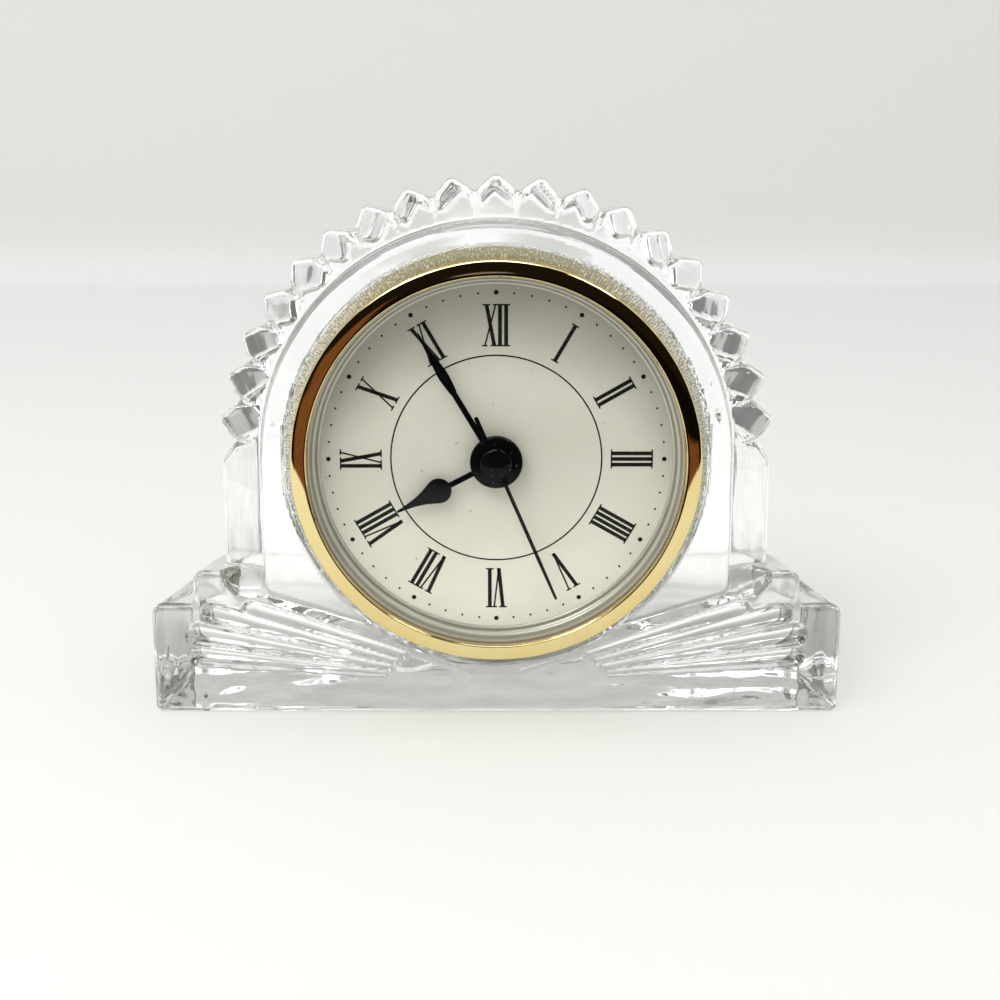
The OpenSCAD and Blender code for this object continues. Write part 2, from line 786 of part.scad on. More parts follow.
leg_out = 1.6;
module stator() {
    rotor = polar(rotor_at, inter_dir);
    leg = 2.4;
    knee_z = coil_z + 5.8;
    color("slategray") at_dial() flat(stator_y, stator_t) difference() {
        union() {
            translate(rotor) circle(r = magnet_r + stator_rim);
            for (s = [-1, 1]) {
                knee = [coil_x + s * (coil_len / 2 + leg_out), knee_z];
                bar([rotor[0] + s * 2, rotor[1] - 2.4], knee, leg);
                translate([knee[0] - leg / 2, coil_z - leg_out])
                    square([leg, knee_z + leg / 2 - coil_z + leg_out]);
            }
        }
        translate(rotor) circle(r = magnet_r + 0.4);
    }
}

core_end = 1.8;
module coil_core() {
    color("slategray") at_dial() translate([coil_x, stator_y + stator_t + core_r, coil_z]) {
        rotate([0, 90, 0]) cylinder(h = coil_len + 5.6, r = core_r, center = true);
        for (s = [-1, 1]) translate([s * (coil_len / 2 + leg_out) - core_end / 2, -core_r, -core_r])
            cube([core_end, 2 * core_r, 2 * core_r]);
    }
}

module coil() {
    color("peru") at_dial() translate([coil_x, stator_y + stator_t + core_r, coil_z]) rotate([0, 90, 0])
        difference() {
            union() {
                cylinder(h = coil_len - 2 * cheek_t, r = coil_r, center = true);
                for (s = [-1, 1]) translate([0, 0, s * (coil_len - cheek_t) / 2])
                    cylinder(h = cheek_t, r = coil_r + 0.5, center = true);
            }
            cylinder(h = coil_len + 1, r = core_r, center = true);
        }
}

board_edge_x = -9;
module circuit_board() {
    color("darkgreen") at_dial() difference() {
        intersection() {
            rod(board_y, board_t, board_r);
            translate([board_edge_x, board_y - cut, -board_r - cut])
                cube([2 * board_r, board_t + 2 * cut, 2 * (board_r + cut)]);
        }
        for (a = pillar_angles) at(pillar_at, a)
            rod(board_y - cut, board_t + 2 * cut, bridge_head_r + bridge_head_t);
    }
}

can_r = 1;
can_len = 6.2;
module quartz_can() {
    color("lightgray") at_dial() translate([-5, board_y + board_t + can_r, -2])
        cylinder(h = can_len, r = can_r);
}

module chip_cap() {
    chip = 2.6;
    color("black") at_dial() at(13, 300) turned([[0, board_y + board_t], [chip, board_y + board_t],
        [chip - 0.3, board_y + board_t + 0.5], [chip - 1.1, board_y + board_t + 0.9], [0, board_y + board_t + 1]]);
}

module at_cell() {
    translate([cell_pos[0], 0, cell_pos[1]]) children();
}

module cell() {
    edge = 0.35;
    color("silver") at_dial() at_cell() turned([[0, cell_y], [cell_r - 1, cell_y],
        [cell_r - 1, cell_y + 0.25], [cell_r - edge, cell_y + 0.25], [cell_r, cell_y + 0.25 + edge],
        [cell_r, cell_y + cell_t - edge], [cell_r - edge, cell_y + cell_t], [0, cell_y + cell_t]]);
}

module negative_contact() {
    color("gold") at_dial() at_cell() {
        rod(board_y + board_t, 0.25, 3.2);
    }
}

module positive_contact() {
    color("gold") at_dial() at_cell() rotate([0, 45, 0])
        translate([cell_r + 0.02, board_y + board_t, -1]) cube([0.3, 4.4, 2]);
}

module battery_door() {
    color("black") at_dial() at_cell() difference() {
        union() {
            rod(case_d + 0.02, door_t, door_r);
            ring(case_d + 0.02 - door_rim_len, door_rim_len + eps, door_rim_r, door_rim_in);
        }
        translate([-slot_len / 2, case_d + door_t - 0.5, -slot_w / 2]) cube([slot_len, 1, slot_w]);
    }
}

crystal_block();
bezel();
lens();
rebate_ring();
dial();
movement_case();
grip_ring();
main_plate();
centre_bush();
plate_screws();
bridge();
bridge_screws();
hour_wheel();
hour_hand();
cannon_pinion();
minute_hand();
motion_wheel();
motion_post();
setting_stem();
setting_knob();
centre_wheel();
third_wheel();
seconds_wheel();
seconds_hand();
intermediate_wheel();
rotor_magnet();
rotor_pinion();
stator();
coil_core();
coil();
circuit_board();
quartz_can();
chip_cap();
cell();
negative_contact();
positive_contact();
battery_door();
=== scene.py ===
"""Looks of a small mantel clock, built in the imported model's frame.

A pressed crystal block, a scalloped arch on a stepped and fluted base, carries a
push-in quartz clock with a gilt bezel, a domed lens and an ivory dial.

Sizes of pieces are millimetres. Their places are (across, depth, up) from the middle
of the dial's face, with depth positive towards the back, until the bench turns them
to metres. In finishes, names that end in _mm are millimetres too, and those that end
in _x, _y or _z are places in metres in the model's frame, as are all in the studio.
"""

import logging
import math
from collections.abc import Callable, Iterable, Sequence
from dataclasses import dataclass
from enum import Enum

import bmesh
import bpy
import numpy as np
from mathutils import Matrix, Vector


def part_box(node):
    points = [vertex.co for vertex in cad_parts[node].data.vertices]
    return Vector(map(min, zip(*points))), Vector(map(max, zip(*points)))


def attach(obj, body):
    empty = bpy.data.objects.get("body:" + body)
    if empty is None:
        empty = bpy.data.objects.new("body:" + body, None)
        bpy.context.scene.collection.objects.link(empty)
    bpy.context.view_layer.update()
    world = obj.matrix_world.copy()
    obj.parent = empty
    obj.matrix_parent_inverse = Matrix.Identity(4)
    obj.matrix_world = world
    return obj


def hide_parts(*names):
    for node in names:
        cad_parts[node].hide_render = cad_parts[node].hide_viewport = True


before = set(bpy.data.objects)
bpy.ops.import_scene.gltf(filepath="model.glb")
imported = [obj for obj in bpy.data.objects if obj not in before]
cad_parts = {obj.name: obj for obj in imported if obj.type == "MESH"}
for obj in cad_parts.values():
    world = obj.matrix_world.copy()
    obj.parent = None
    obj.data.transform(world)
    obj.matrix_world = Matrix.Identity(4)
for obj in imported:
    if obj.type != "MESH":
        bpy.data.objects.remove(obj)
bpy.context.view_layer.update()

LOG = logging.getLogger("mantel_clock")
Colour = tuple[float, float, float]
Point = tuple[float, float]  # a place in a plane, or a pair of lengths
Span = tuple[float, float]  # where a step or a range starts and ends

MM = 0.001
BLACK = (0.0, 0.0, 0.0)
SAME_PLACE = 1e-7  # points closer than this are one
CORNER_SHARE = 0.45  # the most of an edge that one rounded corner may take
HUB_ROUND = (0.35, 0.28)  # how far a hub's domed edge runs in and back
LOST_DEPTH = 6.5  # a ray past this many bounces goes straight through the glass
LOST_TURNS = 2.5  # and so does one that was mirrored more often than this
TURNED_DEPTH = 2.5  # a ray in the glass past this many bounces was turned round inside


# Shader graphs


class Wire:
    """A number on a shader socket, which takes part in Python sums."""

    def __init__(self, graph: "Graph", socket: bpy.types.NodeSocket) -> None:
        """Keeps the graph that new nodes go to and the socket that carries the value."""
        self.graph = graph
        self.socket = socket

    def __add__(self, other: "Wire | float") -> "Wire":
        """Sum of two values."""
        return self.graph.sum("ADD", self, other)

    __radd__ = __add__

    def __sub__(self, other: "Wire | float") -> "Wire":
        """This value less the other."""
        return self.graph.sum("SUBTRACT", self, other)

    def __rsub__(self, other: "Wire | float") -> "Wire":
        """The other value less this one."""
        return self.graph.sum("SUBTRACT", other, self)

    def __mul__(self, other: "Wire | float") -> "Wire":
        """Product of two values."""
        return self.graph.sum("MULTIPLY", self, other)

    __rmul__ = __mul__

    def __truediv__(self, other: "Wire | float") -> "Wire":
        """This value over the other."""
        return self.graph.sum("DIVIDE", self, other)

    def __rtruediv__(self, other: "Wire | float") -> "Wire":
        """The other value over this one."""
        return self.graph.sum("DIVIDE", other, self)


class Graph:
    """The node tree of one material or of the world."""

    def __init__(self, tree: bpy.types.NodeTree) -> None:
        """Starts from an empty tree."""
        self.tree = tree
        tree.nodes.clear()

    def node(self, kind: str, settings: dict | None = None, feeds: dict | None = None) -> bpy.types.Node:
        """Adds a node.

        Args:
            kind: Blender's name of the node's type.
            settings: The node's own settings, set first.
            feeds: Values or links for its sockets, by name or place.

        Returns:
            The new node.
        """
        made = self.tree.nodes.new(kind)
        for name, value in (settings or {}).items():
            setattr(made, name, value)
        for key, value in (feeds or {}).items():
            if isinstance(value, Wire):
                self.tree.links.new(value.socket, made.inputs[key])
            else:
                made.inputs[key].default_value = value
        return made

    def wire(self, kind: str, settings: dict | None = None, feeds: dict | None = None,
             out: str | int = 0) -> Wire:
        """Adds a node and returns one of its outputs.

        Args:
            kind: Blender's name of the node's type.
            settings: The node's own settings.
            feeds: Values or links for its sockets.
            out: Name or place of the output.

        Returns:
            The output as a Wire.
        """
        return Wire(self, self.node(kind, settings, feeds).outputs[out])

    def sum(self, operation: str, *terms: "Wire | float", clamp: bool = False) -> Wire:
        """Adds one Math node on the given terms."""
        return self.wire("ShaderNodeMath", {"operation": operation, "use_clamp": clamp}, dict(enumerate(terms)))

    def step(self, value: Wire, low: float, high: float) -> Wire:
        """Smooth step of a value from 0 at low to 1 at high.

        Args:
            value: The value that crosses the edge.
            low: Where the result is 0.
            high: Where the result is 1; below low, the step falls.

        Returns:
            The mask.
        """
        settings = {"interpolation_type": "SMOOTHSTEP"}
        if low < high:
            return self.wire("ShaderNodeMapRange", settings, {"Value": value, 1: low, 2: high})
        return 1 - self.wire("ShaderNodeMapRange", settings, {"Value": value, 1: high, 2: low})

    def blend(self, mask: "Wire | float", first: "Wire | Colour", second: "Wire | Colour") -> Wire:
        """Mixes two colours by a mask.

        Args:
            mask: 0 for the first colour, 1 for the second.
            first: Colour at mask 0.
            second: Colour at mask 1.

        Returns:
            The mixed colour.
        """
        colours = [c if isinstance(c, Wire) else (*c, 1) for c in (first, second)]
        return self.wire("ShaderNodeMix", {"data_type": "RGBA"}, {0: mask, 6: colours[0], 7: colours[1]}, out=2)

    def place(self) -> Wire:
        """The point's place on the piece, in metres in the model's frame."""
        return self.wire("ShaderNodeTexCoord", out="Object")

    def split(self, vector: Wire) -> tuple[Wire, Wire, Wire]:
        """The three parts of a vector."""
        parts = self.node("ShaderNodeSeparateXYZ", feeds={0: vector})
        return tuple(Wire(self, out) for out in parts.outputs)

    def from_axis(self, place: Wire) -> tuple[Wire, Wire, Wire]:
        """Polar place round the dial's axis.

        Args:
            place: The point's place.

        Returns:
            Radius in millimetres, angle in radians and height in millimetres above the axis.
        """
        x, _, z = self.split(place)
        across, up = x / MM, (z - BENCH.centre[2]) / MM
        radius = self.sum("SQRT", across * across + up * up)
        return radius, self.sum("ARCTAN2", across, up), up

    def noise(self, place: Wire, size_mm: float, detail: float = 2, out: str = "Fac") -> Wire:
        """Smooth noise.

        Args:
            place: Coordinates to read.
            size_mm: Rough size of its blots in millimetres.
            detail: Octaves.
            out: "Fac" for a number round 0.5, "Color" for three.

        Returns:
            The noise.
        """
        feeds = {"Vector": place, "Scale": 1 / (size_mm * MM), "Detail": detail}
        return self.wire("ShaderNodeTexNoise", feeds=feeds, out=out)

    def stretched(self, place: Wire, scale: Sequence[float]) -> Wire:
        """The place scaled by its three axes."""
        return self.wire("ShaderNodeMapping", feeds={"Vector": place, "Scale": scale})

    def see_through(self, shader: Wire, tint: Colour) -> Wire:
        """Lets soft light, shadow rays and rays lost in the glass straight through a shader.

        Args:
            shader: The glass.
            tint: Share of the light that one surface lets through.

        Returns:
            The mixed shader.
        """
        path = self.node("ShaderNodeLightPath")
        shadow, diffuse, depth, turns = (
            Wire(self, path.outputs[n]) for n in ("Is Shadow Ray", "Is Diffuse Ray", "Ray Depth", "Glossy Depth"))
        deep = self.sum("GREATER_THAN", depth, LOST_DEPTH)
        lost = self.sum("MAXIMUM", deep, self.sum("GREATER_THAN", turns, LOST_TURNS))
        mask = self.sum("MAXIMUM", self.sum("MAXIMUM", shadow, diffuse), lost)
        clear = self.wire("ShaderNodeBsdfTransparent", feeds={"Color": (*tint, 1)})
        return self.wire("ShaderNodeMixShader", feeds={0: mask, 1: shader, 2: clear})

    def bump(self, height: Wire, depth_mm: float, strength: float = 1) -> Wire:
        """Normal of a relief.

        Args:
            height: Relief from 0 to 1.
            depth_mm: Its depth in millimetres.
            strength: Share of the effect.

        Returns:
            The normal.
        """
        feeds = {"Height": height, "Distance": depth_mm * MM, "Strength": strength}
        return self.wire("ShaderNodeBump", feeds=feeds)

    def principled(self, **feeds: object) -> Wire:
        """A Principled shader; names use underscores for spaces, and colours may have three parts."""
        named = {}
        for name, value in feeds.items():
            if isinstance(value, tuple) and len(value) == 3:
                value = (*value, 1)
            named[name.replace("_", " ")] = value
        return self.wire("ShaderNodeBsdfPrincipled", feeds=named)


# Finishes


def shaded(colour: Colour, share: float) -> Colour:
    """A colour made darker, or lighter, by a share."""
    return tuple(part * share for part in colour)


@dataclass(frozen=True)
class Finish:
    """A named surface finish, made into a material the first time that a piece needs it."""

    name: str

    def material(self) -> bpy.types.Material:
        """Makes the finish's material, unless there is one by its name.

        Returns:
            The material.
        """
        found = bpy.data.materials.get(self.name)
        if found:
            return found
        made = bpy.data.materials.new(self.name)
        made.use_nodes = True
        graph = Graph(made.node_tree)
        graph.node("ShaderNodeOutputMaterial", feeds={"Surface": self.surface(graph)})
        return made

    def surface(self, graph: Graph) -> Wire:
        """Builds the finish's nodes and returns the shader."""
        raise NotImplementedError


@dataclass(frozen=True)
class PressedCrystal(Finish):
    """Clear pressed crystal, fire polished outside and ground in its bore."""

    tint: Colour = (0.885, 0.893, 0.90)
    shade: Colour = (0.84, 0.845, 0.84)
    index: float = 1.55
    bore_mm: float = 33.0
    bore_edge_mm: float = 0.2
    bore_roughness: float = 0.35
    wave_mm: float = 1.3
    ripple_mm: float = 13.0
    fine_ripple_mm: float = 3.4
    fine_ripple: float = 0.06
    grit_mm: float = 0.35
    grit: float = 0.08
    sole_wave: float = 1.5
    sole_z: Span = (0.0012, 0.0006)
    sole_x: Span = (0.018, 0.035)

    def surface(self, graph: Graph) -> Wire:
        """Clear glass with a faint ripple of the mould, a wavier sole and a satin bore.

        Args:
            graph: Graph that the nodes go to.

        Returns:
            The shader.
        """
        place = graph.place()
        radius, _, _ = graph.from_axis(place)
        across, _, height = graph.split(place)
        bore = graph.step(radius, self.bore_mm + self.bore_edge_mm, self.bore_mm)
        sole = graph.step(height, *self.sole_z) * graph.step(graph.sum("ABSOLUTE", across), *self.sole_x)
        fine = graph.noise(place, self.fine_ripple_mm, 0)
        ripple = graph.noise(place, self.ripple_mm, 0) + self.fine_ripple * fine
        grit = graph.noise(place, self.grit_mm, 3)
        relief = ripple * (1 - bore) * (1 + sole * self.sole_wave) + grit * bore * self.grit
        glass = graph.principled(
            Base_Color=self.tint, Roughness=bore * self.bore_roughness, IOR=self.index,
            Transmission_Weight=1.0, Normal=graph.bump(relief, self.wave_mm),
        )
        return graph.see_through(glass, self.shade)


@dataclass(frozen=True)
class ClearLens(Finish):
    """Clear moulded lens."""

    tint: Colour = (0.99, 0.99, 0.985)
    shade: Colour = (0.98, 0.98, 0.975)
    index: float = 1.14
    dust: Colour = (0.8, 0.8, 0.78)
    dust_mm: float = 0.8
    dust_edge: Span = (0.76, 0.82)
    dust_cover: float = 0.04
    dust_roughness: float = 0.3
    roughness: float = 0.02

    def surface(self, graph: Graph) -> Wire:
        """A thin film that mirrors by its angle, with the faintest specks of dust.

        Args:
            graph: Graph that the nodes go to.

        Returns:
            The shader.
        """
        place = graph.place()
        specks = graph.step(graph.noise(place, self.dust_mm, 1), *self.dust_edge)
        gloss = graph.wire("ShaderNodeFresnel", feeds={"IOR": self.index})
        film = graph.principled(
            Base_Color=graph.blend(specks, self.tint, self.dust), Metallic=1.0,
            Roughness=self.roughness + specks * self.dust_roughness, Alpha=gloss + specks * self.dust_cover,
        )
        return graph.see_through(film, self.shade)


@dataclass(frozen=True)
class Gilt(Finish):
    """Polished gilt brass, turned, with slight wear and handling marks."""

    colour: Colour = (0.87, 0.715, 0.37)
    deep: Colour = (0.84, 0.67, 0.31)
    cloud_mm: float = 14.0
    cloud_edge: Span = (0.35, 0.7)
    line_turns: float = 55.0
    line_wander_mm: float = 3.0
    line_wander: float = 4.0
    line_depth_mm: float = 0.0003
    wipe_mm: float = 1.1
    roughness: float = 0.015
    wipe_haze: float = 0.03
    cloud_haze: float = 0.015

    def surface(self, graph: Graph) -> Wire:
        """Mirror gilt with faint cloudiness and hair-fine turning lines.

        Args:
            graph: Graph that the nodes go to.

        Returns:
            The shader.
        """
        place = graph.place()
        radius, _, _ = graph.from_axis(place)
        cloud = graph.noise(place, self.cloud_mm, 3)
        wander = graph.noise(place, self.line_wander_mm, 1) * self.line_wander
        lines = graph.sum("SINE", radius * self.line_turns + wander) * 0.5 + 0.5
        wipe = graph.noise(place, self.wipe_mm, 4)
        tone = graph.blend(graph.step(cloud, *self.cloud_edge), self.colour, self.deep)
        return graph.principled(
            Base_Color=tone, Metallic=1.0,
            Roughness=self.roughness + wipe * self.wipe_haze + cloud * self.cloud_haze,
            Normal=graph.bump(lines, self.line_depth_mm),
        )


@dataclass(frozen=True)
class SilverTiers(Finish):
    """Satin silver-grey of the stepped ring between lens and dial."""

    # light and dark are the painted highlight and painted shade of the tiers
    light: Colour = (0.62, 0.60, 0.52)
    dark: Colour = (0.30, 0.29, 0.235)
    inner_mm: float = 32.3
    outer_mm: float = 34.4
    tiers: float = 2.6
    tier_edge: Span = (-0.7, 0.8)
    tier_depth_mm: float = 0.02
    cloud_mm: float = 2.0
    metallic: float = 0.35
    roughness: float = 0.3
    haze: float = 0.12

    def surface(self, graph: Graph) -> Wire:
        """Concentric light and dark tiers: painted highlights and painted shade that stand for small lit and
        shaded steps.

        Args:
            graph: Graph that the nodes go to.

        Returns:
            The shader.
        """
        place = graph.place()
        radius, _, _ = graph.from_axis(place)
        turns = 2 * self.tiers * math.pi / (self.outer_mm - self.inner_mm)
        tier = graph.sum("SINE", (radius - self.inner_mm) * turns)
        # painted highlight and shade: pale and dark rings by radius, as lit step edges and shaded step walls
        tone = graph.blend(graph.step(tier, *self.tier_edge), self.dark, self.light)
        return graph.principled(
            Base_Color=tone, Metallic=self.metallic,
            Roughness=self.roughness + graph.noise(place, self.cloud_mm, 2) * self.haze,
            Normal=graph.bump(tier * 0.5 + 0.5, self.tier_depth_mm),
        )


@dataclass(frozen=True)
class IvoryCard(Finish):
    """Ivory lacquered dial, a little unevenly aged, with painted shade that darkens it above its lower part and
    more deeply towards the top.
    """

    colour: Colour = (0.865, 0.846, 0.73)
    aged: Colour = (0.813, 0.79, 0.675)
    spot: Colour = (0.50, 0.46, 0.36)
    # painted shade: how strongly the dial is darkened above its lower part and beyond the arc near the top, and
    # where each rises
    painted_middle_shade: float = 0.25
    painted_top_shade: float = 0.42
    painted_shade_rise_z: Span = (0.02, 0.05)
    painted_shade_arc_z: float = 0.0312
    painted_shade_arc: Span = (0.0302, 0.0455)
    cloud_mm: float = 16.0
    cloud_edge: Span = (0.35, 0.68)
    grain_mm: float = 0.25
    grain_depth_mm: float = 0.004
    grain_haze: float = 0.12
    roughness: float = 0.48
    specular: float = 0.15
    speck_mm: float = 1.3
    speck_edge: Span = (0.85, 0.88)

    def surface(self, graph: Graph) -> Wire:
        """Fine card grain, soft clouds, a few specks, and painted shade, light above the lower part and deeper
        beyond an arc near the top.

        Args:
            graph: Graph that the nodes go to.

        Returns:
            The shader.
        """
        place = graph.place()
        cloud = graph.step(graph.noise(place, self.cloud_mm, 3), *self.cloud_edge)
        grain = graph.noise(place, self.grain_mm, 3)
        specks = graph.step(graph.noise(place, self.speck_mm, 0), *self.speck_edge)
        across, _, height = graph.split(place)
        # painted shade: darker above the lower part, and darker still outside an arc round a point below the hub,
        # towards the top rim
        above = height - self.painted_shade_arc_z
        reach = graph.sum("SQRT", across * across + above * above)
        tone = graph.blend(cloud, self.colour, self.aged)
        lower = graph.step(height, *self.painted_shade_rise_z) * self.painted_middle_shade
        upper = graph.step(reach, *self.painted_shade_arc) * self.painted_top_shade
        # blends the colour towards black by the painted shade
        tone = graph.blend(1 - (1 - lower) * (1 - upper), tone, BLACK)
        tone = graph.blend(specks, tone, self.spot)
        return graph.principled(
            Base_Color=tone, Roughness=self.roughness + grain * self.grain_haze,
            Normal=graph.bump(grain, self.grain_depth_mm), Specular_IOR_Level=self.specular,
        )


@dataclass(frozen=True)
class PrintInk(Finish):
    """Black printing ink on the dial."""

    colour: Colour = (0.006, 0.006, 0.005)
    thin: float = 2.2
    coat_mm: float = 0.3
    coat_edge: Span = (0.4, 0.75)
    coat_depth_mm: float = 0.003
    coat_haze: float = 0.2
    roughness: float = 0.42
    specular: float = 0.15

    def surface(self, graph: Graph) -> Wire:
        """Ink with a slightly uneven coat.

        Args:
            graph: Graph that the nodes go to.

        Returns:
            The shader.
        """
        coat = graph.noise(graph.place(), self.coat_mm, 2)
        tone = graph.blend(graph.step(coat, *self.coat_edge), self.colour, shaded(self.colour, self.thin))
        return graph.principled(
            Base_Color=tone, Roughness=self.roughness + coat * self.coat_haze,
            Normal=graph.bump(coat, self.coat_depth_mm), Specular_IOR_Level=self.specular,
        )


@dataclass(frozen=True)
class GlossEnamel(Finish):
    """Gloss black enamel of the hands."""

    colour: Colour = (0.003, 0.003, 0.0035)
    dust: Colour = (0.3, 0.3, 0.3)
    dust_mm: float = 0.35
    dust_edge: Span = (0.84, 0.87)
    dust_haze: float = 0.5
    peel_mm: float = 0.9
    peel_depth_mm: float = 0.003
    peel_haze: float = 0.05
    roughness: float = 0.1
    specular: float = 0.08
    coat: float = 0.14
    coat_roughness: float = 0.06

    def surface(self, graph: Graph) -> Wire:
        """Deep gloss with a little orange peel and rare dust.

        Args:
            graph: Graph that the nodes go to.

        Returns:
            The shader.
        """
        place = graph.place()
        peel = graph.noise(place, self.peel_mm, 2)
        dust = graph.step(graph.noise(place, self.dust_mm, 0), *self.dust_edge)
        tone = graph.blend(dust, self.colour, self.dust)
        return graph.principled(
            Base_Color=tone, Roughness=self.roughness + dust * self.dust_haze + peel * self.peel_haze,
            Normal=graph.bump(peel, self.peel_depth_mm),
            Specular_IOR_Level=self.specular, Coat_Weight=self.coat, Coat_Roughness=self.coat_roughness,
        )


@dataclass(frozen=True)
class Moulded(Finish):
    """Moulded plastic or vinyl, with a fine texture from the mould."""

    colour: Colour = (0.5, 0.5, 0.5)
    roughness: float = 0.45
    grain_mm: float = 0.4
    relief_mm: float = 0.01
    clouding: float = 0.82
    cloud_mm: float = 11.0
    cloud_edge: Span = (0.3, 0.75)
    grain_haze: float = 0.16

    def surface(self, graph: Graph) -> Wire:
        """Slightly clouded colour with the mould's grain.

        Args:
            graph: Graph that the nodes go to.

        Returns:
            The shader.
        """
        place = graph.place()
        cloud = graph.noise(place, self.cloud_mm, 3)
        grain = graph.noise(place, self.grain_mm, 3)
        tone = graph.blend(graph.step(cloud, *self.cloud_edge), self.colour, shaded(self.colour, self.clouding))
        return graph.principled(
            Base_Color=tone, Roughness=self.roughness + (grain - 0.5) * self.grain_haze,
            Normal=graph.bump(grain, self.relief_mm),
        )


@dataclass(frozen=True)
class RibbedVinyl(Finish):
    """Olive vinyl with fine radial lines in painted shade, a sparkling skin, pale scuffs, and a painted sheen
    towards the sides.
    """

    colour: Colour = (0.46, 0.44, 0.31)
    pale: Colour = (0.80, 0.80, 0.74)
    lines: int = 420
    bubble_mm: float = 0.5
    wander_mm: float = 4.0
    wander: float = 6.0
    # painted sheen: pale patches grow over the sides across this span, by this much
    side_sheen_x: Span = (0.012, 0.034)
    painted_side_sheen: float = 0.16
    comb_wear: float = 0.12
    scuff_edge: Span = (0.56, 0.78)
    # painted shade of the fine ribs: how dark the darker lines are, and how much of it they get
    valley: float = 0.78
    painted_rib_shade: float = 0.8
    comb_relief: float = 0.6
    relief_mm: float = 0.15
    roughness: float = 0.22
    comb_haze: float = 0.15
    coat: float = 0.6
    coat_roughness: float = 0.1

    def surface(self, graph: Graph) -> Wire:
        """Fine radial lines marked by painted shade, broken up by bubbles and pale scuffs, with painted sheen that
        grows towards the sides.

        Args:
            graph: Graph that the nodes go to.

        Returns:
            The shader.
        """
        place = graph.place()
        _, angle, _ = graph.from_axis(place)
        across, _, _ = graph.split(place)
        bubbles = graph.noise(place, self.bubble_mm, 1)
        wander = graph.noise(place, self.wander_mm, 2) * self.wander
        comb = graph.sum("SINE", angle * self.lines + wander) * 0.5 + 0.5
        # painted sheen: more pale patches towards the sides, on top of the scuffs
        flank = graph.step(graph.sum("ABSOLUTE", across), *self.side_sheen_x)
        scuff_and_sheen = graph.step(bubbles + comb * self.comb_wear + flank * self.painted_side_sheen, *self.scuff_edge)
        # painted shade: every other fine line is darker, to mark out the ribs
        lined = graph.blend(comb * self.painted_rib_shade, self.colour, shaded(self.colour, self.valley))
        tone = graph.blend(scuff_and_sheen, lined, self.pale)
        return graph.principled(
            Base_Color=tone, Roughness=self.roughness + comb * self.comb_haze,
            Normal=graph.bump(comb * self.comb_relief + bubbles, self.relief_mm),
            Coat_Weight=self.coat, Coat_Roughness=self.coat_roughness,
        )


@dataclass(frozen=True)
class Machined(Finish):
    """Cut or drawn metal with fine tool lines along one axis."""

    colour: Colour = (0.6, 0.6, 0.6)
    roughness: float = 0.3
    along: tuple[float, float, float] = (1, 8, 8)
    line_mm: float = 0.5
    line_depth_mm: float = 0.002
    line_haze: float = 0.2
    cloud_mm: float = 6.0
    cloud_edge: Span = (0.35, 0.75)
    cloud_haze: float = 0.06
    clouding: float = 0.78

    def surface(self, graph: Graph) -> Wire:
        """Metal with stretched brush lines and a few duller clouds.

        Args:
            graph: Graph that the nodes go to.

        Returns:
            The shader.
        """
        place = graph.place()
        lines = graph.noise(graph.stretched(place, self.along), self.line_mm, 3)
        cloud = graph.noise(place, self.cloud_mm, 2)
        tone = graph.blend(graph.step(cloud, *self.cloud_edge), self.colour, shaded(self.colour, self.clouding))
        haze = (lines - 0.5) * self.line_haze + cloud * self.cloud_haze
        return graph.principled(
            Base_Color=tone, Metallic=1.0, Roughness=self.roughness + haze,
            Normal=graph.bump(lines, self.line_depth_mm),
        )


@dataclass(frozen=True)
class WoundCopper(Finish):
    """Enamelled copper wire in close turns."""

    colour: Colour = (0.60, 0.26, 0.11)
    pitch_mm: float = 0.12
    # painted shade in the grooves between turns: the share of the colour left there
    valley: float = 0.45
    ridge_mm: float = 0.03
    metallic: float = 0.8
    roughness: float = 0.25
    ridge_haze: float = 0.1
    coat: float = 0.4

    def surface(self, graph: Graph) -> Wire:
        """Turns along the spool as fine ridges, with painted shade in the grooves between them.

        Args:
            graph: Graph that the nodes go to.

        Returns:
            The shader.
        """
        place = graph.place()
        x, _, _ = graph.split(place)
        turn = graph.sum("SINE", x * (2 * math.pi / (self.pitch_mm * MM))) * 0.5 + 0.5
        # painted shade: the grooves between turns are darker
        tone = graph.blend(turn, shaded(self.colour, self.valley), self.colour)
        return graph.principled(
            Base_Color=tone, Metallic=self.metallic, Roughness=self.roughness + turn * self.ridge_haze,
            Normal=graph.bump(turn, self.ridge_mm), Coat_Weight=self.coat,
        )


@dataclass(frozen=True)
class BoardLacquer(Finish):
    """Green lacquered circuit board with tracks under the lacquer."""

    colour: Colour = (0.02, 0.16, 0.07)
    track: Colour = (0.06, 0.30, 0.12)
    turn_mm: float = 5.0
    turn_edge: Span = (0.49, 0.51)
    track_turns: float = 3200.0
    track_edge: Span = (0.2, 0.4)
    track_depth_mm: float = 0.01
    roughness: float = 0.25
    turn_haze: float = 0.05
    coat: float = 0.5

    def surface(self, graph: Graph) -> Wire:
        """Square-edged tracks from two crossed waves.

        Args:
            graph: Graph that the nodes go to.

        Returns:
            The shader.
        """
        place = graph.place()
        x, _, z = graph.split(place)
        bend = graph.step(graph.noise(place, self.turn_mm, 0), *self.turn_edge)
        wave = graph.sum("SINE", (x * (1 - bend) + z * bend) * self.track_turns)
        tone = graph.blend(graph.step(wave, *self.track_edge), self.colour, self.track)
        return graph.principled(
            Base_Color=tone, Roughness=self.roughness + bend * self.turn_haze,
            Normal=graph.bump(wave, self.track_depth_mm), Coat_Weight=self.coat,
        )


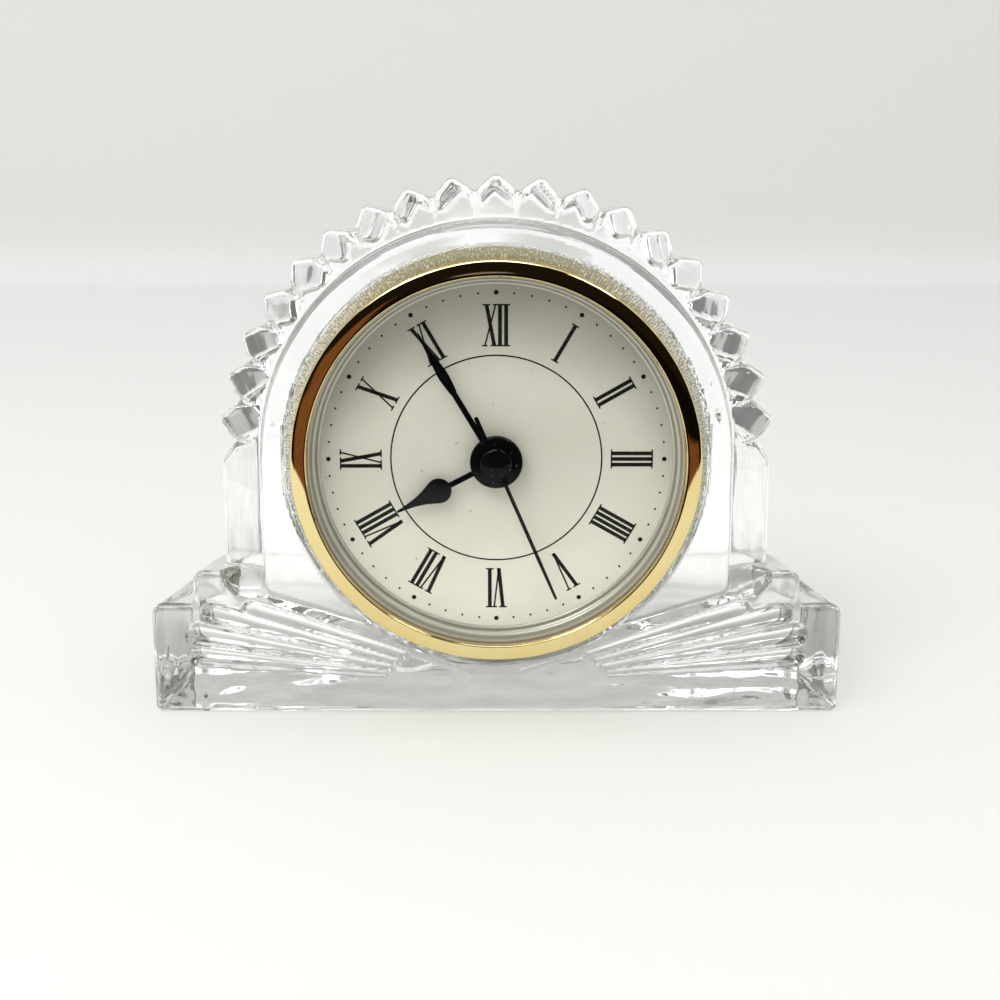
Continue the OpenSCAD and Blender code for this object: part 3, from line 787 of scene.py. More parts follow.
class Slot(Enum):
    """The record's material slots, each with the finish that it wears here."""

    CRYSTAL = ("crystal", PressedCrystal("pressed_crystal"))
    GILT = ("gilt_brass", Gilt("gilt"))
    LENS = ("lens_glass", ClearLens("clear_lens"))
    SILVER = ("silver_plastic", SilverTiers("silver_tiers"))
    IVORY = ("ivory_card", IvoryCard("ivory_lacquer"))
    INK = ("black_gloss", PrintInk("print_ink"))
    ENAMEL = ("black_gloss", GlossEnamel("gloss_enamel"))
    CASE = ("case_plastic", Moulded("moulded_case", (0.60, 0.59, 0.53), 0.42))
    VINYL = ("olive_rubber", RibbedVinyl("grip_vinyl"))
    FRAME = ("frame_plastic", Moulded("moulded_frame", (0.42, 0.46, 0.50), 0.4))
    WHEEL = ("wheel_plastic", Moulded("moulded_wheel", (0.76, 0.74, 0.68), 0.35, 0.3))
    KNOB = ("knob_plastic", Moulded("moulded_knob", (0.025, 0.025, 0.026), 0.4, 0.3, 0.015))
    BRASS = ("brass", Machined("cut_brass", (0.72, 0.52, 0.23), 0.28))
    STEEL = ("steel", Machined("bright_steel", (0.60, 0.60, 0.60), 0.26))
    IRON = ("soft_iron", Machined("rolled_iron", (0.36, 0.38, 0.41), 0.4, (8, 1, 8)))
    MAGNET = ("magnet", Machined("sintered_magnet", (0.13, 0.13, 0.14), 0.5, (1, 1, 1)))
    COPPER = ("copper_wire", WoundCopper("wound_copper"))
    BOARD = ("board_green", BoardLacquer("board_lacquer"))
    CHIP = ("chip_black", Moulded("chip_resin", (0.012, 0.012, 0.012), 0.2, 0.8))

    def wear(self, piece: bpy.types.Object) -> bpy.types.Object:
        """Gives a piece this slot's finish.

        Args:
            piece: A new piece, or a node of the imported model.

        Returns:
            The same piece.
        """
        if piece.material_slots:
            piece.material_slots[0].material = self.value[1].material()
        else:
            piece.data.materials.append(self.value[1].material())
        return piece


# Shapes


def join(first: np.ndarray, second: np.ndarray, radius: float) -> np.ndarray:
    """Depth of what two solids share, with the edge rounded.

    Args:
        first: Depth of one solid, negative inside.
        second: Depth of the other.
        radius: Radius of the edge.

    Returns:
        The joined depth.
    """
    corner = np.hypot(np.maximum(first + radius, 0), np.maximum(second + radius, 0))
    return np.minimum(-radius, np.maximum(first, second)) + corner


def fuse(first: np.ndarray, second: np.ndarray, radius: float) -> np.ndarray:
    """Depth of two solids together, with the inner corner filled to a radius."""
    return -join(-first, -second, radius)


@dataclass
class Skin:
    """A mesh round the zero level of a depth function, on a grid that may be uneven.

    The points are put on the surface by a few Newton steps, and their normals are its
    gradient.
    """

    depth: Callable[[np.ndarray, np.ndarray, np.ndarray], np.ndarray]
    axes: tuple[np.ndarray, np.ndarray, np.ndarray]
    limits: tuple[Sequence[float], Sequence[float]]
    probe: float = 0.02
    steps: int = 6
    least_slope: float = 0.3
    longest_push: float = 0.2

    def mesh(self) -> tuple[np.ndarray, np.ndarray, np.ndarray]:
        """Finds the surface and draws its points onto it.

        Returns:
            The points, the four-sided faces and the points' normals.
        """
        level = self.depth(*np.meshgrid(*self.axes, indexing="ij"))
        shape = tuple(n - 1 for n in level.shape)
        total, count = np.zeros((*shape, 3)), np.zeros(shape)
        crossings = [self._cross(level, axis, total, count) for axis in range(3)]
        used = count > 0
        index = np.full(shape, -1)
        index[used] = np.arange(used.sum())
        points = total[used] / count[used][:, None]
        for _ in range(self.steps):
            slope = self._slope(points)
            push = self.depth(*points.T) / np.maximum((slope**2).sum(1), self.least_slope)
            points = points - np.clip(push, -self.longest_push, self.longest_push)[:, None] * slope
        points = np.clip(points, *self.limits)
        slope = self._slope(points)
        slope /= np.linalg.norm(slope, axis=1)[:, None]
        faces = np.concatenate([self._quads(index, axis, *crossings[axis]) for axis in range(3)])
        return points, faces, slope

    def _slope(self, points: np.ndarray) -> np.ndarray:
        """Takes the gradient of the depth from small steps both ways.

        Args:
            points: Places to take it at.

        Returns:
            One gradient for each point.
        """
        parts = []
        for axis in range(3):
            step = np.zeros(3)
            step[axis] = self.probe
            ahead, behind = self.depth(*(points + step).T), self.depth(*(points - step).T)
            parts.append((ahead - behind) / (2 * self.probe))
        return np.stack(parts, 1)

    def _cross(self, level: np.ndarray, axis: int, total: np.ndarray, count: np.ndarray) -> tuple:
        """Finds where grid edges along an axis cross the surface.

        Args:
            level: Depth at the grid's points.
            axis: Direction of the edges.
            total: Sum of crossing points of each cell, added to.
            count: Number of crossings of each cell, added to.

        Returns:
            The mask of crossing edges and whether each enters the solid.
        """
        low = np.take(level, range(level.shape[axis] - 1), axis)
        high = np.take(level, range(1, level.shape[axis]), axis)
        hit = (low < 0) != (high < 0)
        share = np.where(hit, low / np.where(hit, low - high, 1), 0)
        grid = np.meshgrid(*[a[:-1] if i == axis else a for i, a in enumerate(self.axes)], indexing="ij")
        width = np.diff(self.axes[axis]).reshape([-1 if i == axis else 1 for i in range(3)])
        grid[axis] = grid[axis] + share * width
        others = [i for i in range(3) if i != axis]
        for shift in ((0, 0), (0, 1), (1, 0), (1, 1)):
            cut = [slice(None)] * 3
            for other, by in zip(others, shift):
                cut[other] = slice(by, level.shape[other] - 1 + by)
            cut = tuple(cut)
            mask = hit[cut]
            count += mask
            for part in range(3):
                total[..., part] += np.where(mask, grid[part][cut], 0)
        return hit, low < 0

    @staticmethod
    def _quads(index: np.ndarray, axis: int, hit: np.ndarray, inside: np.ndarray) -> np.ndarray:
        """Makes the faces across the crossing edges of one axis, wound to face outwards.

        Args:
            index: Number of each cell's point, or -1.
            axis: Direction of the edges.
            hit: Which edges cross the surface.
            inside: Which edges start in the solid.

        Returns:
            The faces, as point numbers.
        """
        one, two = [i for i in range(3) if i != axis]
        at = np.argwhere(hit)
        keep = (at[:, one] > 0) & (at[:, two] > 0)
        keep &= (at[:, one] < index.shape[one]) & (at[:, two] < index.shape[two])
        at = at[keep]
        corners = []
        for by_one, by_two in ((0, 0), (1, 0), (1, 1), (0, 1)):
            cell = at.copy()
            cell[:, one] -= 1 - by_one
            cell[:, two] -= 1 - by_two
            corners.append(index[tuple(cell.T)])
        faces = np.stack(corners, 1)
        flip = inside[tuple(at.T)] != (axis != 1)
        faces[flip] = faces[flip][:, ::-1]
        return faces


class Bench:
    """Puts pieces in the model's frame and on its bodies."""

    def __init__(self) -> None:
        """Takes the middle of the dial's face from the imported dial."""
        low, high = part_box("dial")
        self.centre = ((low.x + high.x) / 2, low.y, (low.z + high.z) / 2)

    def metres(self, points: np.ndarray) -> np.ndarray:
        """Points in metres in the model's frame, from millimetres round the dial."""
        return np.asarray(points, float) * MM + np.array(self.centre)

    def finish_mesh(self, name: str, mesh: bpy.types.Mesh, slot: Slot, body: str,
                    stands_for: Iterable[str] = ()) -> bpy.types.Object:
        """Turns a mesh in its place into a piece of the clock.

        Args:
            name: Name of the piece.
            mesh: Its mesh, in metres in the model's frame.
            slot: Its finish.
            body: The body that it moves with.
            stands_for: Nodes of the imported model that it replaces.

        Returns:
            The piece.
        """
        piece = bpy.data.objects.new(name, mesh)
        bpy.context.scene.collection.objects.link(piece)
        slot.wear(piece)
        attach(piece, body)
        if stands_for:
            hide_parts(*stands_for)
        LOG.info("%s: %d faces on %s", name, len(mesh.polygons), body)
        return piece

    def piece(self, name: str, points: np.ndarray, faces: Sequence[Sequence[int]], slot: Slot, body: str,
              stands_for: Iterable[str] = (), crease: float = 32) -> bpy.types.Object:
        """Makes a piece from points and faces.

        Args:
            name: Name of the piece.
            points: Points in millimetres round the dial.
            faces: Faces as lists of point numbers.
            slot: Its finish.
            body: The body that it moves with.
            stands_for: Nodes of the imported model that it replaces.
            crease: Angle in degrees above which an edge stays sharp.

        Returns:
            The piece.
        """
        mesh = bpy.data.meshes.new(name)
        mesh.from_pydata(self.metres(points).tolist(), [], [list(map(int, f)) for f in faces])
        shape = bmesh.new()
        shape.from_mesh(mesh)
        bmesh.ops.remove_doubles(shape, verts=shape.verts, dist=SAME_PLACE)
        if shape.calc_volume(signed=True) < 0:
            bmesh.ops.reverse_faces(shape, faces=shape.faces)
        for face in shape.faces:
            face.smooth = True
        for edge in shape.edges:
            edge.smooth = edge.calc_face_angle(math.pi) < math.radians(crease)
        shape.to_mesh(mesh)
        shape.free()
        return self.finish_mesh(name, mesh, slot, body, stands_for)


BENCH = Bench()


def soften(outline: Sequence[Point], radius: float, steps: int = 3, keep: Iterable[int] = ()) -> list[Point]:
    """Rounds the corners of a closed outline.

    Args:
        outline: Corners in order.
        radius: Radius that a right-angled corner gets.
        steps: Chords of each rounded corner.
        keep: Numbers of corners that stay sharp.

    Returns:
        The new outline.
    """
    result: list[Point] = []
    sharp = set(keep)
    for i, corner in enumerate(outline):
        if i in sharp:
            result.append(corner)
            continue
        here = np.array(corner, float)
        before = np.array(outline[i - 1], float) - here
        after = np.array(outline[(i + 1) % len(outline)], float) - here
        reach = min(radius, CORNER_SHARE * np.linalg.norm(before), CORNER_SHARE * np.linalg.norm(after))
        start = here + before / np.linalg.norm(before) * reach
        end = here + after / np.linalg.norm(after) * reach
        for k in range(steps + 1):
            t = k / steps
            result.append(tuple((1 - t) ** 2 * start + 2 * t * (1 - t) * here + t**2 * end))
    return result


def turned(profile: Sequence[Point], segments: int = 192) -> tuple[np.ndarray, list[list[int]]]:
    """Turns a closed profile round the dial's axis.

    Args:
        profile: Radius and depth of each corner, in order.
        segments: Number of steps round the axis.

    Returns:
        Points in millimetres and faces.
    """
    angles = np.arange(segments) * 2 * math.pi / segments
    points, rings = [], []
    for radius, depth in profile:
        if radius < SAME_PLACE:
            rings.append([len(points)] * segments)
            points.append((0, depth, 0))
        else:
            rings.append(list(range(len(points), len(points) + segments)))
            points.extend((radius * math.sin(a), depth, radius * math.cos(a)) for a in angles)
    faces = []
    for i, ring in enumerate(rings):
        beyond = rings[(i + 1) % len(rings)]
        for k in range(segments):
            n = (k + 1) % segments
            face = list(dict.fromkeys((ring[k], ring[n], beyond[n], beyond[k])))
            if len(face) > 2:
                faces.append(face)
    return np.array(points), faces


def slab(outline: Sequence[Point], front: float, back: float) -> tuple[np.ndarray, list[list[int]]]:
    """A flat plate of an outline drawn as seen from the front.

    Args:
        outline: Corners (across, up) in order.
        front: Depth of its front face.
        back: Depth of its back face.

    Returns:
        Points in millimetres and faces.
    """
    n = len(outline)
    points = [(x, y, z) for y in (front, back) for x, z in outline]
    faces = [list(range(n)), list(range(2 * n - 1, n - 1, -1))]
    faces += [[i, n + i, n + (i + 1) % n, (i + 1) % n] for i in range(n)]
    return np.array(points), faces


def gather(parts: Iterable[tuple[np.ndarray, list[list[int]]]]) -> tuple[np.ndarray, list[list[int]]]:
    """Puts several shells into one set.

    Args:
        parts: Points and faces of each shell.

    Returns:
        All points and all faces.
    """
    points: list[np.ndarray] = []
    faces: list[list[int]] = []
    start = 0
    for own_points, own_faces in parts:
        points.append(own_points)
        faces += [[start + i for i in face] for face in own_faces]
        start += len(own_points)
    return np.concatenate(points), faces


def quarter(step: int) -> list[float]:
    """Angles of a quarter circle in radians, a number of degrees apart."""
    return [math.radians(degrees) for degrees in range(0, 90 + 1, step)]


def about(points: np.ndarray, degrees: float) -> np.ndarray:
    """Points turned clockwise round the dial's axis."""
    a = math.radians(degrees)
    x, y, z = np.asarray(points, float).T
    return np.stack([x * math.cos(a) + z * math.sin(a), y, z * math.cos(a) - x * math.sin(a)], 1)


# Repeats, made by geometry nodes


class RingOfCopies:
    """A node tree that sets copies of a small block or disc round the dial's axis."""

    def __init__(self, name: str, sizes: dict[str, float]) -> None:
        """Starts a tree whose inputs are the given sizes.

        Args:
            name: Name of the tree.
            sizes: Named sizes in millimetres or counts, with their values.
        """
        self.name = name
        self.sizes = sizes
        self.tree = bpy.data.node_groups.new(name, "GeometryNodeTree")
        self.tree.interface.new_socket("Geometry", in_out="INPUT", socket_type="NodeSocketGeometry")
        self.keys = {}
        for label, value in sizes.items():
            kind = "NodeSocketInt" if isinstance(value, int) else "NodeSocketFloat"
            self.keys[label] = self.tree.interface.new_socket(label, in_out="INPUT", socket_type=kind).identifier
        self.tree.interface.new_socket("Geometry", in_out="OUTPUT", socket_type="NodeSocketGeometry")
        self.inputs = self.tree.nodes.new("NodeGroupInput")

    def node(self, kind: str, settings: dict | None = None, feeds: dict | None = None) -> bpy.types.Node:
        """Adds a node.

        Args:
            kind: Blender's name of the node's type.
            settings: The node's own settings.
            feeds: Values or output sockets for its inputs, by name or place.

        Returns:
            The new node.
        """
        made = self.tree.nodes.new(kind)
        for name, value in (settings or {}).items():
            setattr(made, name, value)
        for key, value in (feeds or {}).items():
            if isinstance(value, bpy.types.NodeSocket):
                self.tree.links.new(value, made.inputs[key])
            else:
                made.inputs[key].default_value = value
        return made

    def maths(self, operation: str, first: object, second: object = 0.0) -> bpy.types.NodeSocket:
        """One Math node on numbers or sockets."""
        return self.node("ShaderNodeMath", {"operation": operation}, {0: first, 1: second}).outputs[0]

    def metres(self, label: str) -> bpy.types.NodeSocket:
        """A named size in metres."""
        return self.maths("MULTIPLY", self.inputs.outputs[label], MM)

    def angle(self, count: bpy.types.NodeSocket) -> bpy.types.NodeSocket:
        """Angle of each copy, in radians."""
        index = self.node("GeometryNodeInputIndex").outputs[0]
        return self.maths("DIVIDE", self.maths("MULTIPLY", index, 2 * math.pi), count)

    def turn(self, count: bpy.types.NodeSocket) -> bpy.types.NodeSocket:
        """Rotation of each copy so that it stands along its radius."""
        return self.combined(y=self.angle(count))

    def combined(self, x: object = 0.0, y: object = 0.0, z: object = 0.0) -> bpy.types.NodeSocket:
        """A vector of three numbers or sockets."""
        return self.node("ShaderNodeCombineXYZ", feeds={"X": x, "Y": y, "Z": z}).outputs[0]

    def ring(self, count: bpy.types.NodeSocket, shape: bpy.types.NodeSocket) -> bpy.types.NodeSocket:
        """Sets copies of a shape, already at its radius, round the axis.

        Args:
            count: Number of copies.
            shape: The shape, standing at the top of the circle.

        Returns:
            The copies.
        """
        spots = self.node("GeometryNodeMeshLine", feeds={"Count": count, "Offset": (0, 0, 0)}).outputs[0]
        feeds = {"Points": spots, "Instance": shape, "Rotation": self.turn(count)}
        return self.node("GeometryNodeInstanceOnPoints", feeds=feeds).outputs[0]

    def moved(self, shape: bpy.types.NodeSocket, **feeds: object) -> bpy.types.NodeSocket:
        """The shape with a Transform Geometry node's Translation, Rotation or Scale."""
        return self.node("GeometryNodeTransform", feeds={"Geometry": shape, **feeds}).outputs[0]

    def mesh(self, shape: bpy.types.NodeSocket, slot: Slot) -> bpy.types.Mesh:
        """Runs the tree and returns its result as a plain mesh.

        Args:
            shape: The last geometry of the tree.
            slot: Finish of the result.

        Returns:
            The mesh, in metres in the model's frame.
        """
        real = self.node("GeometryNodeRealizeInstances", feeds={"Geometry": shape}).outputs[0]
        finish = slot.value[1].material()
        dressed = self.node("GeometryNodeSetMaterial", feeds={"Geometry": real, "Material": finish})
        end = self.tree.nodes.new("NodeGroupOutput")
        self.tree.links.new(dressed.outputs[0], end.inputs[0])
        holder = bpy.data.objects.new(self.name, bpy.data.meshes.new(self.name + "_seed"))
        bpy.context.scene.collection.objects.link(holder)
        modifier = holder.modifiers.new("copies", "NODES")
        modifier.node_group = self.tree
        for label, value in self.sizes.items():
            modifier[self.keys[label]] = value
        depsgraph = bpy.context.evaluated_depsgraph_get()
        result = bpy.data.meshes.new_from_object(holder.evaluated_get(depsgraph))
        holder.modifiers.remove(modifier)
        bpy.data.objects.remove(holder)
        result.transform(Matrix.Translation(Vector(BENCH.centre)))
        result.name = self.name
        return result


# The crystal


@dataclass(frozen=True)
class Flute:
    """One tapered flute of the fan, from its inner end to its rounded outer end."""

    inner: Point
    outer: Point
    inner_width: float
    outer_width: float


@dataclass
class CrystalBlock:
    """The pressed block: toothed arch, stepped base with its fan of flutes, and boss."""

    # outer form
    front: float = -3.0
    back: float = 39.0
    foot: float = -48.4
    half_width: float = 64.3
    low_top: float = 21.4
    riser_half: float = 56.4
    high_top: float = 27.8
    draft: float = math.tan(math.radians(6.8))
    arch_draft: float = math.tan(math.radians(8.2))
    arch_front: float = 3.5
    side_half: float = 50.9

    # edges
    bevel: float = 1.5
    arch_bevel: float = 1.2
    step_round: float = 2.2
    foot_round: float = 1.1

    # ring of teeth, with its notches on the front face
    tooth_pitch: float = 9.2
    tip_radius: float = 51.2
    tip_half: float = 0.7
    tip_round: float = 1.0
    valley_radius: float = 48.6
    valley_round: float = 0.6
    notch_foot: float = 45.4
    notch_rise: float = 1.0
    notch_wall: float = 3.2

    # boss, seat and bore
    boss_front: float = -0.5
    boss_radius: float = 43.4
    boss_round: float = 1.8
    seat_radius: float = 39.15
    seat_floor: float = 1.95
    bore_radius: float = 32.65

    # apron, its ledge and the fan of flutes
    ledge_half: float = 50.4
    ledge_slope: float = math.tan(math.radians(38))
    apron: tuple[Point, Point] = ((4.6, 8.4), (47.9, 22.6))
    groove: float = 0.58
    flute_round: float = 0.3
    ridge: float = 0.45
    flutes: tuple[Flute, ...] = (
        Flute((17.3, 11.4), (45.2, 20.3), 1.4, 4.0),
        Flute((19.0, 10.1), (52.4, 19.6), 1.2, 4.2),
        Flute((20.0, 8.9), (55.5, 15.4), 1.2, 4.2),
        Flute((21.0, 7.8), (55.5, 11.2), 1.0, 3.6),
    )

    # how the parts of the form meet
    side_reach: float = 1.0
    crown_end: float = math.radians(2.6)
    shoulder_face: Point = (0.85, 0.53)
    shoulder_drop: float = 1.6
    shoulder_round: float = 0.5
    root: float = -36.4
    notch_round: float = 0.4
    apron_drop: float = 2.2
    apron_scale: float = 1.3
    apron_round: float = 0.8
    step_fillet: float = 0.8
    boss_back: float = 10.0
    boss_fillet: float = 0.6
    base_fillet: float = 0.5
    bore_round: float = 0.35
    far_away: float = 99.0

    # grid on which the surface is found
    grain: float = 0.66
    fine_grain: float = 0.42
    fine_top: float = -19.5
    across_grain: float = 0.56
    face_grain: float = 0.45
    margin: float = 1.2
    grid_below: float = 0.9
    grid_before: float = 0.87
    grid_face: float = 2.6
    grid_back: Point = (1.7, 0.8)
    grid_rows: int = 9
    grid_row: float = 1.5

    def _crown(self, x: np.ndarray, z: np.ndarray, inset: np.ndarray) -> np.ndarray:
        """Depth inside the ring of teeth, drawn in by the draft.

        Args:
            x: Across.
            z: Height above the dial's middle.
            inset: How far the outline is drawn in.

        Returns:
            The depth, negative inside.
        """
        radius = np.hypot(x, z) + inset
        half = math.radians(self.tooth_pitch / 2)
        turn = np.abs(np.mod(np.arctan2(x, z) + half, 2 * half) - half)
        tip = self.tip_radius * np.array((math.sin(math.radians(self.tip_half)), 1))
        valley = self.valley_radius * np.array((math.sin(half), math.cos(half)))
        across, down = valley - tip
        normal = np.array((-down, across)) / math.hypot(across, down)

        def flank(angle: np.ndarray) -> np.ndarray:
            """Depth under one flank at an angle from the tooth's middle."""
            return normal[0] * (radius * np.sin(angle) - tip[0]) + normal[1] * (radius * np.cos(angle) - tip[1])

        tooth = join(flank(turn), flank(-turn), self.tip_round)
        return fuse(tooth, flank(2 * half - turn), self.valley_round)

    def _notches(self, x: np.ndarray, y: np.ndarray, z: np.ndarray) -> np.ndarray:
        """Depth inside the narrow notches that part the teeth on the front face.

        Args:
            x: Across.
            y: Depth.
            z: Height above the dial's middle.

        Returns:
            The depth, negative inside.
        """
        half = math.radians(self.tooth_pitch / 2)
        turn = half - np.abs(np.mod(np.arctan2(x, z) + half, 2 * half) - half)
        radius = np.hypot(x, z)
        floor = self.notch_foot + (y - self.arch_front) / self.notch_rise
        wall = floor + self.notch_wall * radius * np.sin(turn) - radius * np.cos(turn)
        return np.maximum(wall / math.hypot(self.notch_wall, 1 / self.notch_rise, 1), -z)

    def _arch(self, x: np.ndarray, y: np.ndarray, z: np.ndarray) -> np.ndarray:
        """Depth inside the arch: crown, shoulders and plain sides between two faces.

        Args:
            x: Across.
            y: Depth.
            z: Height above the dial's middle.

        Returns:
            The depth, negative inside.
        """
        inset = (y - self.arch_front) * self.arch_draft
        side = np.abs(x)
        lift = z * math.cos(self.crown_end) - side * math.sin(self.crown_end)
        crown = np.maximum(self._crown(x, z, inset), -lift - self.side_reach)
        past = side + inset - self.side_half
        shoulder = self.shoulder_face[0] * past + self.shoulder_face[1] * (z + self.shoulder_drop)
        plain = np.maximum(join(past, shoulder, self.shoulder_round), lift - self.side_reach)
        outline = np.maximum(np.minimum(crown, plain), self.root - z)
        solid = join(join(outline, self.arch_front - y, self.arch_bevel), y - self.back, self.bevel)
        return join(solid, -self._notches(x, y, z), self.notch_round)

    def _step(self, x: np.ndarray, y: np.ndarray, z: np.ndarray, half: float, top: float) -> np.ndarray:
        """Depth inside one step of the base.

        Args:
            x: Across.
            y: Depth.
            z: Height above the dial's middle.
            half: Half width of the step at its front.
            top: Height of its top above the table at its front.

        Returns:
            The depth.
        """
        inset = (y - self.front) * self.draft
        outline = join(np.abs(x) + inset - half, z - self.foot - top + inset, self.step_round)
        solid = join(join(outline, self.front - y, self.bevel), y - self.back, self.bevel)
        return join(solid, self.foot - z, self.foot_round)

    def _apron_cut(self, x: np.ndarray, y: np.ndarray, z: np.ndarray) -> np.ndarray:
        """Depth inside the wide V below the boss, whose ledge slopes up to the arch.

        Args:
            x: Across.
            y: Depth.
            z: Height above the dial's middle.

        Returns:
            The depth, negative inside.
        """
        (x_in, z_in), (x_out, z_out) = self.apron
        side = np.abs(x)
        heights = (z_in, z_in, z_out, self.high_top - self.apron_drop)
        edge = np.interp(side, (0, x_in, x_out, self.ledge_half), heights)
        over = z - self.foot - (y - self.front) * self.ledge_slope
        ledge = np.maximum((edge - over) / self.apron_scale, side - self.ledge_half)
        return np.maximum(ledge, y - self.arch_front - self.bevel)

    def _boss(self, x: np.ndarray, y: np.ndarray, z: np.ndarray) -> np.ndarray:
        """Depth inside the smooth boss: a disc on upright cheeks.

        Args:
            x: Across.
            y: Depth.
            z: Height above the dial's middle.

        Returns:
            The depth, negative inside.
        """
        outline = np.where(z > 0, np.hypot(x, z), np.abs(x)) - self.boss_radius
        outline = np.maximum(outline, self.root - z)
        return np.maximum(join(outline, self.boss_front - y, self.boss_round), y - self.boss_back)

    def _flutes(self, x: np.ndarray, y: np.ndarray, z: np.ndarray) -> np.ndarray:
        """Depth inside the fan of flutes, which are tapered rods sunk in the apron.

        Args:
            x: Across.
            y: Depth.
            z: Height above the dial's middle.

        Returns:
            The depth, negative inside.
        """
        # Sunk this far, a rod cuts the front as wide as its flute is said to be.
        sink = math.sqrt(self.groove**2 - 0.5**2)
        side, height = np.abs(x), z - self.foot
        cut = np.full_like(side, self.far_away)
        for flute in self.flutes:
            ends = ((flute.inner, flute.inner_width), (flute.outer, flute.outer_width))
            start, end = (np.array((at[0], self.front - sink * width, at[1])) for at, width in ends)
            run = end - start
            rest = (side - start[0], y - start[1], height - start[2])
            share = np.clip(sum(r * c for r, c in zip(rest, run)) / (run @ run), 0, 1)
            gap = np.sqrt(sum((r - share * c) ** 2 for r, c in zip(rest, run)))
            width = flute.inner_width + share * (flute.outer_width - flute.inner_width)
            cut = fuse(cut, gap - self.groove * width, self.flute_round)
        return cut

    def depth(self, x: np.ndarray, y: np.ndarray, z: np.ndarray) -> np.ndarray:
        """Depth inside the block, negative in the glass.

        Args:
            x: Across, in millimetres from the dial's middle.
            y: Depth.
            z: Height.

        Returns:
            The depth.
        """
        low = self._step(x, y, z, self.half_width, self.low_top)
        high = self._step(x, y, z, self.riser_half, self.high_top)
        base = join(fuse(low, high, self.step_fillet), -self._apron_cut(x, y, z), self.apron_round)
        arch = fuse(self._arch(x, y, z), self._boss(x, y, z), self.boss_fillet)
        body = fuse(arch, base, self.base_fillet)
        radius = np.hypot(x, z)
        bore = np.minimum(radius - self.bore_radius, np.maximum(radius - self.seat_radius, y - self.seat_floor))
        return join(join(body, -bore, self.bore_round), -self._flutes(x, y, z), self.ridge)

    def _grid(self) -> tuple[np.ndarray, np.ndarray, np.ndarray]:
        """Lays out the grid's lines, closer in the base and by the two faces.

        Returns:
            The places across, in depth and in height.
        """
        side = self.half_width + self.margin
        across = np.linspace(-side, side, 2 * round(side / self.across_grain) + 1)
        low = np.arange(self.foot - self.grid_below, self.fine_top, self.fine_grain)
        upper = np.arange(low[-1] + self.grain, self.tip_radius + self.margin, self.grain)
        near = np.arange(self.front - self.grid_before, self.arch_front + self.grid_face, self.face_grain)
        far = np.arange(self.back - self.grid_back[0], self.back + self.grid_back[1], self.face_grain)
        between = np.linspace(near[-1] + self.grid_row, far[0] - self.grid_row, self.grid_rows)
        return across, np.concatenate((near, between, far)), np.concatenate((low, upper))

    def build(self) -> bpy.types.Object:
        """Builds the block and puts it in place of the plain solid.

        Returns:
            The block.
        """
        limits = ((-self.half_width, self.front, self.foot), (self.half_width, self.back, self.tip_radius))
        points, faces, normals = Skin(self.depth, self._grid(), limits).mesh()
        mesh = bpy.data.meshes.new("crystal_body")
        mesh.from_pydata(BENCH.metres(points).tolist(), [], faces.tolist())
        mesh.shade_smooth()
        mesh.normals_split_custom_set_from_vertices(normals.tolist())
        return BENCH.finish_mesh("crystal_body", mesh, Slot.CRYSTAL, "crystal", ["crystal_block"])


# The insert


